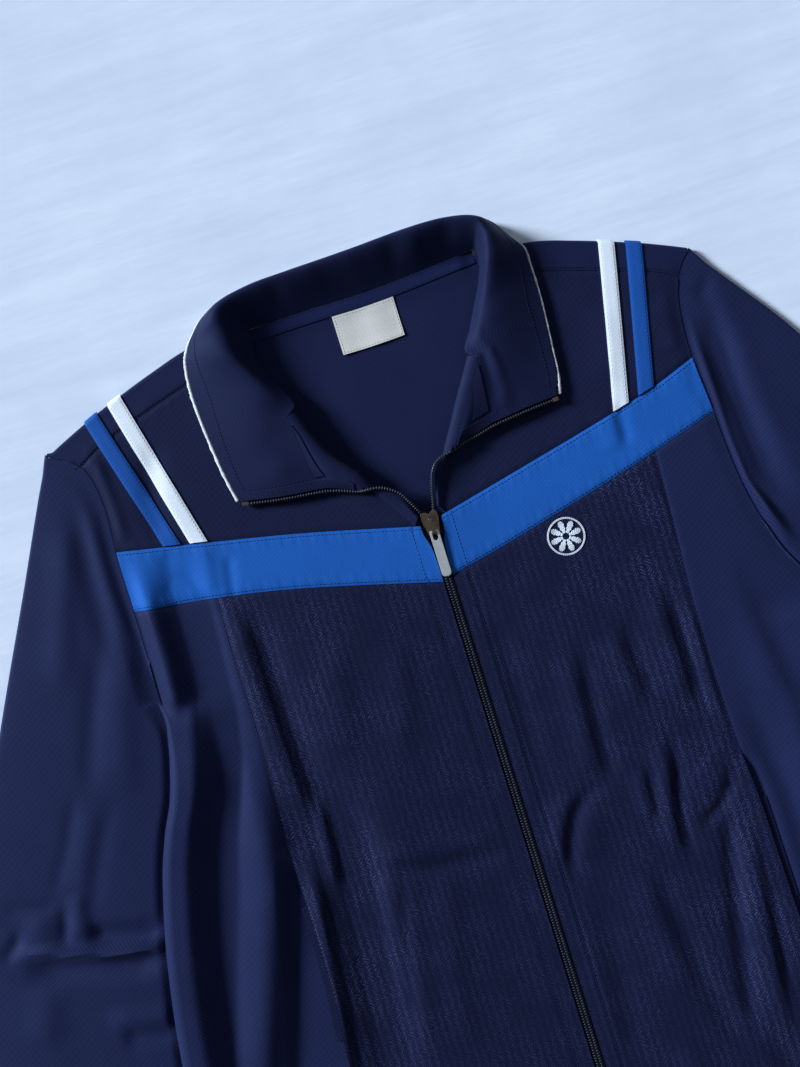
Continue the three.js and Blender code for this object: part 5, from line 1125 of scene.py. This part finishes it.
# %% Tubes along a line of points
def tube(name, points, radius, sides, look, replaces=(), wander=0.0):
    points = np.asarray(points, float)
    radius = np.broadcast_to(radius, len(points))[:, None]
    tangent = np.gradient(points, axis=0)
    tangent /= np.linalg.norm(tangent, axis=1, keepdims=True)
    side_way = np.cross(tangent, [0, 0, 1.0])
    side_way /= np.linalg.norm(side_way, axis=1, keepdims=True)
    up = np.cross(side_way, tangent)
    angle = np.linspace(0, 2 * np.pi, sides, endpoint=False)
    dice = np.random.default_rng(7)
    rough = 1 + wander * dice.standard_normal((len(points), sides)) + 0.8 * wander * np.sin(np.arange(len(points)) * 0.7)[:, None]
    ring = points[:, None] + (radius * rough)[..., None] * (np.cos(angle)[None, :, None] * side_way[:, None] + np.sin(angle)[None, :, None] * up[:, None])
    count = len(points)
    ids = np.arange(count * sides).reshape(count, sides)
    after = np.roll(ids, -1, axis=1)
    quads = np.stack([ids[:-1], after[:-1], after[1:], ids[1:]], -1).reshape(-1, 4).tolist()
    mesh = bpy.data.meshes.new(name)
    mesh.from_pydata(to_frame(ring.reshape(-1, 3)).tolist(), [], quads + [ids[0][::-1].tolist(), ids[-1].tolist()])
    uv = mesh.uv_layers.new(name="grain")
    loops = np.empty(len(mesh.loops), int)
    mesh.loops.foreach_get("vertex_index", loops)
    length = run_length(points, 0)
    flat = np.stack(np.broadcast_arrays(angle[None, :] * radius.mean() * MM, length[:, None]), -1).reshape(-1, 2)
    uv.data.foreach_set("uv", flat[loops].ravel())
    mesh.materials.append(look)
    mesh.shade_smooth()
    piece = bpy.data.objects.new(name, mesh)
    bpy.context.scene.collection.objects.link(piece)
    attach(piece, "jacket")
    if replaces:
        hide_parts(*replaces)
    return piece


# The piping's lighter second colour is painted on the cord's crests, a painted highlight.
PIPING = knit("white corded piping, frayed", "#bfc4cc", "#f2efe8", pitch=0.9, turn=0.6, rib_depth=0.3, sheen=0.3, sheen_tint="#ffffff", cloudy=0.12)
stations = np.linspace(0.6, 433.4, 420)
edge = collar_points(stations, np.ones_like(stations))
within = collar_points(stations, np.full_like(stations, 0.97))
outward = (edge - within) / np.linalg.norm(edge - within, axis=1, keepdims=True)
along = np.gradient(edge, axis=0)
facing = -np.cross(outward, along)
facing /= np.linalg.norm(facing, axis=1, keepdims=True)
facing *= np.sign(facing[:, 2:3]) * np.where(np.abs(facing[:, 2:3]) > 0.2, 1, 1)
piping_line = edge - facing * (TRIM + SEAM / 2) + outward * (PIPING_RADIUS + 0.35)
piping_line[:, 2] = np.maximum(piping_line[:, 2], PIPING_RADIUS + 0.3)
thin = smooth((stations - 270) / 30) * smooth((428 - stations) / 14)   # the cord has drawn in on the left leaf
tube("the_collar_piping", piping_line, PIPING_RADIUS * (1 - 0.4 * thin), 10, PIPING, ["collar_piping"], wander=0.1)
print("piping runs", round(float(run_length(piping_line, 0)[-1]), 3), "m")

# %% Neck tape, its ends, and the label
def tape_bottom(x):
    return back_neck_at(x) - SEAM / 2 - NECK_TAPE_WIDTH


def lapel_reach(side, base_y):
    over, edge = (np.stack(lapel_point(side, base_y, np.full(np.shape(base_y), t)), -1) for t in (1.0, 2.0))
    return np.linalg.norm(edge - over, axis=-1)


def strip(name, grid, flipped, look, above, replaces, wall=0.7):
    return cloth(name, [(grid, flipped, grain_of(grid))], look, wall, offset=above + wall, replaces=replaces)


def back_inside(x, y):
    return x, y, back_bottom(x, y) + CLOTH


tape = place_on_grid(np.linspace(-83, 83.5, 110), spaced(9, 1.0, 2.6), lambda x, v: back_inside(x, tape_bottom(x) + v * NECK_TAPE_WIDTH))
strip("the_neck_tape", tape, False, TAPE, 0.1, ["neck_tape"])
LABEL_LOOK = knit("cream damask label", "#c6c0b4", "#e6e0d5", pitch=0.7, turn=0.0, rib_depth=0.05, rough=0.55, sheen=0.15, sheen_tint="#fff6dc", cloudy=0.05)


def label_place(x, y):
    curl = 0.5 * np.exp(-((y + LABEL["height"]) / 5) ** 2) + 0.25 * np.sin(x * 0.21)
    bx, by, bz = back_inside(x + LABEL["x"], tape_bottom(x + LABEL["x"]) - SEAM + y)
    return bx, by, bz + curl * smooth(-y / 4)


label = place_on_grid(spaced(45, 1.2), spaced(28, 1.2) * LABEL["height"] - LABEL["height"], lambda u, y: label_place((u - 0.5) * LABEL["width"], y))
strip("the_label", label, False, LABEL_LOOK, SEAM, ["label"])
for name, side in SIDES.items():
    def end_place(s, v):
        base_y = side["lapel_to"] - 1 - v * mix(9, 27, s)
        last = 2 - (ZIP["open_tape"] + 2.5) / lapel_reach(side, base_y)
        x, y, z = lapel_point(side, base_y, mix(1.1, last, s))
        return side["sign"] * x, y, z
    grid = place_on_grid(np.linspace(0, 1, 40), spaced(9, 1.0, 2.6), end_place)
    strip("the_neck_tape_end_" + name, grid, side["sign"] > 0, INSIDE_NAVY, CLOTH + 0.1, ["neck_tape_end_" + name])

# %% Pocket facings
for name, side in SIDES.items():
    def facing_place(a, y):
        x = side["princess_at"](y) + a
        return side["sign"] * x, y, lift(side, x, y) + 4.0 + TRIM
    grid = place_on_grid(np.linspace(-8, 5, 8), np.linspace(side["pocket"][1] + 39, side["pocket"][0] - 39, 30), facing_place)
    cloth("the_pocket_facing_" + name, [(grid, side["sign"] < 0, plan_grain(grid))], NAVY, TRIM, replaces=["pocket_facing_" + name])

# %% [markdown]
# ## Zip
# Below the slider the two tapes are joined by the meshed chain. Above it each tape runs on along the
# open edge with its row of nylon loops. The loops repeat, so Geometry Nodes set them along a line.

# %% Rows that Geometry Nodes make
def row_tree(name, long_mm, wide_mm, tall_mm):
    """Small rounded bars, one every so many millimetres along a curve."""
    tree = bpy.data.node_groups.new(name, "GeometryNodeTree")
    for label, kind, way in (("Line", "NodeSocketGeometry", "INPUT"), ("Pitch", "NodeSocketFloat", "INPUT"), ("Long", "NodeSocketFloat", "INPUT"),
                             ("Wide", "NodeSocketFloat", "INPUT"), ("Tall", "NodeSocketFloat", "INPUT"), ("Sway", "NodeSocketFloat", "INPUT"),
                             ("Look", "NodeSocketMaterial", "INPUT"), ("Row", "NodeSocketGeometry", "OUTPUT")):
        socket = tree.interface.new_socket(name=label, in_out=way, socket_type=kind)
        if label in ("Long", "Wide", "Tall"):
            socket.default_value = {"Long": long_mm, "Wide": wide_mm, "Tall": tall_mm}[label] * MM
    start, end = tree.nodes.new("NodeGroupInput"), tree.nodes.new("NodeGroupOutput")
    spots = node(tree, "GeometryNodeCurveToPoints", {"Curve": start.outputs["Line"], "Length": start.outputs["Pitch"]}, mode="LENGTH")
    bar = node(tree, "GeometryNodeMeshUVSphere", {"Segments": 6, "Rings": 4, "Radius": 0.5})
    size = node(tree, "ShaderNodeCombineXYZ", {0: start.outputs["Wide"], 1: start.outputs["Tall"], 2: start.outputs["Long"]})
    dice = node(tree, "FunctionNodeRandomValue", {"Min": (-1, -1, -1), "Max": (1, 1, 1), "Seed": 11}, data_type="FLOAT_VECTOR")
    sway = node(tree, "ShaderNodeVectorMath", {0: dice.outputs[0], "Scale": start.outputs["Sway"]}, operation="SCALE")
    placed = node(tree, "GeometryNodeInstanceOnPoints", {"Points": spots.outputs["Points"], "Instance": bar.outputs["Mesh"],
                                                         "Rotation": spots.outputs["Rotation"], "Scale": size.outputs[0]})
    turned = node(tree, "GeometryNodeRotateInstances", {"Instances": placed.outputs[0], "Rotation": sway.outputs[0]})
    real = node(tree, "GeometryNodeRealizeInstances", {0: turned.outputs[0]})
    soft = node(tree, "GeometryNodeSetShadeSmooth", {0: real.outputs[0]})
    dressed = node(tree, "GeometryNodeSetMaterial", {"Geometry": soft.outputs[0], "Material": start.outputs["Look"]})
    tree.links.new(dressed.outputs[0], end.inputs["Row"])
    return tree


STITCHES = row_tree("stitch row", 2.1, 0.5, 0.42)
LOOPS = row_tree("zip loop row", 0.95, 2.7, 1.5)


def row(name, lines, tree, pitch, look, body="jacket", sizes=None, sway=0.0, slot=None):
    """lines: polylines in millimetres that the row follows."""
    line = bpy.data.curves.new(name + "_line", "CURVE")
    line.dimensions = "3D"
    for points in lines:
        spline = line.splines.new("POLY")
        spline.points.add(len(points) - 1)
        spline.points.foreach_set("co", np.concatenate([to_frame(points), np.ones((len(points), 1))], 1).ravel())
    guide = bpy.data.objects.new(name + "_line", line)
    bpy.context.scene.collection.objects.link(guide)
    maker = guide.modifiers.new("row", "NODES")
    maker.node_group = tree
    names = {item.name: item.identifier for item in tree.interface.items_tree if item.in_out == "INPUT"}
    maker[names["Pitch"]] = pitch * MM
    maker[names["Look"]] = look
    maker[names["Sway"]] = sway
    for label, item in (("Long", "Long"), ("Wide", "Wide"), ("Tall", "Tall")):
        maker[names[label]] = (sizes or {}).get(label, None) * MM if sizes else next(i for i in tree.interface.items_tree if i.name == item).default_value
    bpy.context.view_layer.update()
    graph = bpy.context.evaluated_depsgraph_get()
    mesh = bpy.data.meshes.new_from_object(guide.evaluated_get(graph), depsgraph=graph)
    mesh.name = name
    piece = bpy.data.objects.new(name, mesh)
    if not mesh.materials:
        mesh.materials.append(look)
    bpy.context.scene.collection.objects.link(piece)
    bpy.data.objects.remove(guide)
    bpy.data.curves.remove(line)
    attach(piece, body)
    print(name, len(mesh.polygons), "faces")
    return piece


# %% Zip tapes, chain and open coils
ZIP_TAPE = knit("black woven zip tape", "#0b0c12", "#1d1f2a", pitch=1.0, turn=1.57, rib_depth=0.1, sheen=0.15)


def plastic(name, colour, rough):
    made, tree, shader = blank_material(name)
    place = node(tree, "ShaderNodeTexCoord").outputs["Object"]
    glint_patches = node(tree, "ShaderNodeTexNoise", {"Vector": place, "Scale": 160.0, "Detail": 3.0})
    # Random patches of a lighter grey stand for glints of light on the loops: a painted highlight. The same patches
    # vary the roughness.
    mixed = node(tree, "ShaderNodeMix", {0: glint_patches.outputs[0], 6: hexed(colour), 7: hexed("#2c2e3a")}, data_type="RGBA")
    tree.links.new(mixed.outputs[2], shader.inputs["Base Color"])
    dull = node(tree, "ShaderNodeMapRange", {0: glint_patches.outputs[0], 1: 0.3, 2: 0.7, 3: rough - 0.1, 4: rough + 0.1})
    tree.links.new(dull.outputs[0], shader.inputs["Roughness"])
    return made


NYLON = plastic("black nylon coil", "#101117", 0.42)


def zip_level(y):
    return CLOTH + air(SIDES["R"], np.full(np.shape(y), ZIP["tape_in"]), np.asarray(y, float))


zip_rows = np.linspace(9, ZIP["top"], 130)
for name, side in SIDES.items():
    grid = place_on_grid(np.array([3.4, 5, 7, 10, 13, 16]), zip_rows, lambda x, y: (side["sign"] * x, y, zip_level(y) - ZIP["below"] + TRIM))
    cloth("the_zip_tape_" + name, [(grid, side["sign"] < 0, plan_grain(grid))], ZIP_TAPE, TRIM, replaces=["zip_tape_" + name])
chain_ribbon = place_on_grid(np.array([-3.1, -1.5, 0, 1.5, 3.1]), zip_rows, lambda x, y: (x, y, zip_level(y) - 0.1))
cloth("the_zip_chain", [(chain_ribbon, False, plan_grain(chain_ribbon))], ZIP_TAPE, ZIP["below"] - 0.1, replaces=["zip_chain"])
chain_y = np.linspace(9.5, 500.5, 200)
for name, sign in (("R", -1), ("L", 1)):
    shift = 0.95 if sign > 0 else 0.0
    line = np.stack([np.full_like(chain_y, sign * 1.35), chain_y + shift, zip_level(chain_y) + 0.2], -1)
    row("chain_loops_" + name, [line], LOOPS, 1.9, NYLON, sizes={"Long": 1.25, "Wide": 2.7, "Tall": 1.4}, slot="zip_coil")


def lapel_bases(side):
    return np.linspace(side["lapel_from"] - 1, side["lapel_to"], 40)


def open_tape(side):
    collar = np.linspace(0.03, 0.97, 26)
    bases = np.linspace(side["lapel_from"] + 41, side["lapel_to"], 40)
    ws = np.array([0.09, 0.3, 0.55, 0.8, 1.0])
    width = np.minimum(0.8, ZIP["open_tape"] / lapel_reach(side, bases))
    x, y, z = lapel_point(side, bases[None, :] + 0 * ws[:, None], 2 - ws[:, None] * width[None, :])
    lapel = np.stack([side["sign"] * x, y, z], -1)
    start = 0.0 if side["sign"] < 0 else 434.0
    far = start + 13.0 * (1 if side["sign"] < 0 else -1)
    first, second = (collar_points(np.full_like(collar, at), collar) for at in (start, far))
    length = np.linalg.norm(second - first, axis=-1)[None, :, None]
    ends = mix(first[None], second[None], ws[:, None, None] * ZIP["open_tape"] / length)
    ends[..., 2] -= CLOTH
    return np.concatenate([lapel, ends], 1)


def coil_line(side):
    level = float(zip_level(ZIP["top"])) + (ZIP["above"] - ZIP["below"]) / 2
    bases = lapel_bases(side)
    edge = np.stack(lapel_point(side, bases, np.full_like(bases, 2.0)), -1)
    tangent = np.gradient(edge[:, :2], axis=0)
    tangent /= np.linalg.norm(tangent, axis=1, keepdims=True)
    over = smooth((bases - side["lapel_from"] - 26) / 12)
    reach = ZIP["coil"] + 0.8
    above = edge + np.stack([-tangent[:, 1] * reach, tangent[:, 0] * reach, 0.3 + 0.045 * (bases - side["lapel_from"])], -1)
    below = edge + np.stack([tangent[:, 1] * reach, -tangent[:, 0] * reach, np.full_like(bases, CLOTH / 2)], -1)
    path = mix(above, below, over[:, None])
    path[:, 2] += 2.4 * np.exp(-((over - 0.5) / 0.33) ** 2) * (over > 0) * (over < 1)
    start = np.array([[2.6, 503.8, level], [3.6, 508, level], [4.9, 512.5, level + 0.3]])
    foot = path[bases > side["lapel_from"] + 8]
    at = 0.0 if side["sign"] < 0 else 434.0
    ts = np.linspace(0.15, 0.93, 12)
    end = collar_points(np.full_like(ts, at), ts)
    end = np.stack([np.abs(end[:, 0]), end[:, 1] - reach + 0.2, end[:, 2] - CLOTH], -1)
    points = np.concatenate([start, foot, end])
    points[:, 0] *= side["sign"]
    for _ in range(2):
        points[1:-1] = (points[:-2] + 2 * points[1:-1] + points[2:]) / 4
    return points


METAL_STOPS = {}
for name, side in SIDES.items():
    grid = open_tape(side)
    strip("the_zip_tape_open_" + name, grid, side["sign"] > 0, NAVY, CLOTH + 0.1, ["zip_tape_open_" + name])
    line = coil_line(side)
    tube("the_zip_coil_" + name, line, 0.75, 8, NYLON, ["zip_coil_" + name])
    row("open_loops_" + name, [line], LOOPS, 1.9, NYLON, sizes={"Long": 1.15, "Wide": 3.3, "Tall": 2.5}, slot="zip_coil")

# %% [markdown]
# ## Metal of the zip
# The slider is worn gunmetal plating over die-cast zinc and the tab is satin silver. Their CAD solids
# have the right shape, so they get materials here, with rounded edges from the Bevel node. The slider's
# lighter brown patches are partly that wear and partly painted glints of light.

# %% Metals
def metal(name, colour, rough, wear, shine=1.0):
    made, tree, shader = blank_material(name)
    place = node(tree, "ShaderNodeTexCoord").outputs["Object"]
    clouds = node(tree, "ShaderNodeTexNoise", {"Vector": place, "Scale": 240.0, "Detail": 4.0, "Roughness": 0.6})
    scratches = node(tree, "ShaderNodeTexNoise", {"Vector": node(tree, "ShaderNodeMapping", {"Vector": place, "Scale": (2600, 260, 900)}).outputs[0], "Scale": 1.0, "Detail": 3.0})
    # Patches of the lighter wear colour are mixed in at random; on the gunmetal they stand partly for real wear of the
    # plating and partly for painted glints.
    colour_mix = node(tree, "ShaderNodeMix", {0: clouds.outputs[0], 6: hexed(colour), 7: hexed(wear)}, data_type="RGBA")
    tree.links.new(colour_mix.outputs[2], shader.inputs["Base Color"])
    dull = node(tree, "ShaderNodeMapRange", {0: scratches.outputs[0], 1: 0.3, 2: 0.7, 3: rough - 0.1, 4: rough + 0.14})
    tree.links.new(dull.outputs[0], shader.inputs["Roughness"])
    shader.inputs["Metallic"].default_value = shine
    rounded = node(tree, "ShaderNodeBevel", {"Radius": 0.35 * MM}, samples=6)
    bump = node(tree, "ShaderNodeBump", {"Height": scratches.outputs[0], "Strength": 0.25, "Distance": 0.03 * MM, "Normal": rounded.outputs[0]})
    tree.links.new(bump.outputs[0], shader.inputs["Normal"])
    return made


# The gunmetal's light brown second colour is partly worn plating and partly painted glints of light.
GUNMETAL = metal("worn gunmetal plating on zinc, with painted glints", "#26211e", 0.22, "#8d7864", 0.85)
SILVER = metal("satin nickel plating", "#c8c8c4", 0.3, "#eae8e2", 0.5)
for name, look in (("slider", GUNMETAL), ("pull_tab", SILVER), ("top_stop_R", GUNMETAL), ("top_stop_L", GUNMETAL), ("zip_box", NYLON)):
    solid = bpy.data.objects[name]
    for socket in solid.material_slots:
        socket.material = look

# %% [markdown]
# ## Stitching
# Rows of stitches show along the band, beside the zip, inside the piping, along the stripes and round
# the label. One Geometry Nodes tree lays them all, 2.6 mm apart, just above the cloth.

# %% Stitch rows
def thread(name, colour, light):
    made, tree, shader = blank_material(name)
    place = node(tree, "ShaderNodeTexCoord").outputs["Object"]
    twist = node(tree, "ShaderNodeTexNoise", {"Vector": place, "Scale": 1500.0, "Detail": 2.0})
    mixed = node(tree, "ShaderNodeMix", {0: twist.outputs[0], 6: hexed(colour), 7: hexed(light)}, data_type="RGBA")
    tree.links.new(mixed.outputs[2], shader.inputs["Base Color"])
    shader.inputs["Roughness"].default_value = 0.7
    shader.inputs["Specular IOR Level"].default_value = 0.2
    return made


NAVY_THREAD = thread("navy polyester thread", "#080b1c", "#1b2144")
BLUE_THREAD = thread("blue polyester thread", "#0f3470", "#2f6cc0")
CREAM_THREAD = thread("cream polyester thread", "#b9ae90", "#e6dec6")
WHITE_THREAD = thread("white polyester thread", "#cfd6e2", "#ffffff")


def on_front(side, x, y, above=0.35):
    return np.stack([side["sign"] * x, y, front_top(side, x, y) + above], -1)


navy_lines, blue_lines = [], []
for name, side in SIDES.items():
    x = np.linspace(9, float(outer_edge(side, side["band_top_at"](214))) - 1, 130)
    for edge_at, away in (("band_bottom_at", 2.3), ("band_top_at", -2.3)):
        blue_lines.append(on_front(side, x, side[edge_at](x) + away, 0.5))
    y = np.linspace(4, float(side["band_bottom_at"](15)) - 2, 240)
    navy_lines.append(on_front(side, np.full_like(y, 15.0), y, -0.05))
    y = np.linspace(float(side["band_bottom_at"](15)) + 1, float(side["band_top_at"](15)) - 1, 20)
    blue_lines.append(on_front(side, np.full_like(y, 15.0), y, 0.5))
    x = np.linspace(float(wrap_neck(side, 650)) + 3, 226 if name == "R" else 217, 100)
    navy_lines.append(on_front(side, x, forward_seam_at(x) + 2.2, 0.1))
    x = np.linspace(4, 276, 150)
    y = np.full_like(x, 18.0)
    navy_lines.append(np.stack([side["sign"] * x, y, np.where(x < side["princess_at"](y), front_top(side, x, y), side_height(side, x, y)) + 0.1], -1))
    y = np.linspace(30, float(side["band_bottom_at"](158)) - 2, 230)
    x = side["princess_at"](y)
    navy_lines.append(np.stack([side["sign"] * x, y, centre_height(side, x - 0.5, y) + 0.1], -1))
row("topstitching_navy", navy_lines, STITCHES, 2.6, NAVY_THREAD, sway=0.08)
row("topstitching_blue", blue_lines, STITCHES, 2.6, BLUE_THREAD, sway=0.08)

stations = np.linspace(1.5, 432.5, 300)
ridge_line = collar_points(stations, np.full_like(stations, 0.88))
ridge_line[:, 2] += 0.2
front_r = collar_points(np.full(20, 8.0), np.linspace(0.1, 0.88, 20))
front_l = collar_points(np.full(20, 426.0), np.linspace(0.1, 0.88, 20))
seam_line = collar_points(stations[:40], np.full(40, 0.04))
for line in (front_r, front_l, seam_line):
    line[:, 2] += 0.2
row("topstitching_collar", [ridge_line[6:-6], front_r, front_l], STITCHES, 2.6, NAVY_THREAD, sway=0.08)

tape_lines = [np.stack(back_inside(x, tape_bottom(x) + shift), -1) + [0, 0, 0.85]
              for x in [np.linspace(-78, 80, 90)] for shift in (1.2, NECK_TAPE_WIDTH - 1.2)]
row("neck_tape_stitching", tape_lines, STITCHES, 2.4, NAVY_THREAD, sway=0.08)
label_edge = [(-21.3, -26.6), (21.3, -26.6), (21.3, -1.4), (-21.3, -1.4), (-21.3, -26.6)]
label_line = np.concatenate([np.linspace(a, b, 24)[:-1] for a, b in zip(label_edge, label_edge[1:])])
label_stitches = np.stack(label_place(label_line[:, 0], label_line[:, 1]), -1) + [0, 0, SEAM + 0.75]
row("label_stitching", [label_stitches], STITCHES, 2.2, CREAM_THREAD, sizes={"Long": 1.7, "Wide": 0.4, "Tall": 0.35}, sway=0.06)
for kind, look in (("white", WHITE_THREAD), ("blue", BLUE_THREAD)):
    lines = []
    for side in SIDES.values():
        for share in (-0.38, 0.38):
            grid = stripe_points(side, side[kind], [share], np.linspace(0.02, 0.985, 60))[0]
            lines.append(grid + [0, 0, SEAM + TRIM + 0.05])
    row(f"{kind}_stripe_stitching", lines, STITCHES, 2.6, look, sway=0.06)

# %% [markdown]
# ## A plain embroidered rosette
# The chest carries a small piece of white embroidery. Here it is a generic rosette of eight petals in
# satin stitch, which is many threads laid side by side.

# %% Rosette
ROSETTE = (87.0, 466.0)
rosette_lines = []
for petal in range(8):
    turn = petal * math.pi / 4 + 0.15
    for share in np.linspace(-1, 1, 9):
        reach_in, reach_out = 3.2, 3.2 + 7.2 * math.sqrt(max(0.05, 1 - share * share * 0.9))
        for_side = share * 0.3
        spots = np.array([[r * math.cos(turn + for_side * (0.7 + 0.3 * r / 10)), r * math.sin(turn + for_side * (0.7 + 0.3 * r / 10))] for r in np.linspace(reach_in, reach_out, 8)])
        x, y = ROSETTE[0] + spots[:, 0], ROSETTE[1] + spots[:, 1]
        rosette_lines.append(on_front(SIDES["L"], x, y, 0.45))
ring = np.linspace(0, 2 * math.pi, 60)
for radius in (12.4, 13.1):
    rosette_lines.append(on_front(SIDES["L"], ROSETTE[0] + radius * np.cos(ring), ROSETTE[1] + radius * np.sin(ring), 0.42))
row("chest_rosette", rosette_lines, STITCHES, 1.3, WHITE_THREAD, sizes={"Long": 1.9, "Wide": 0.62, "Tall": 0.5}, sway=0.05)
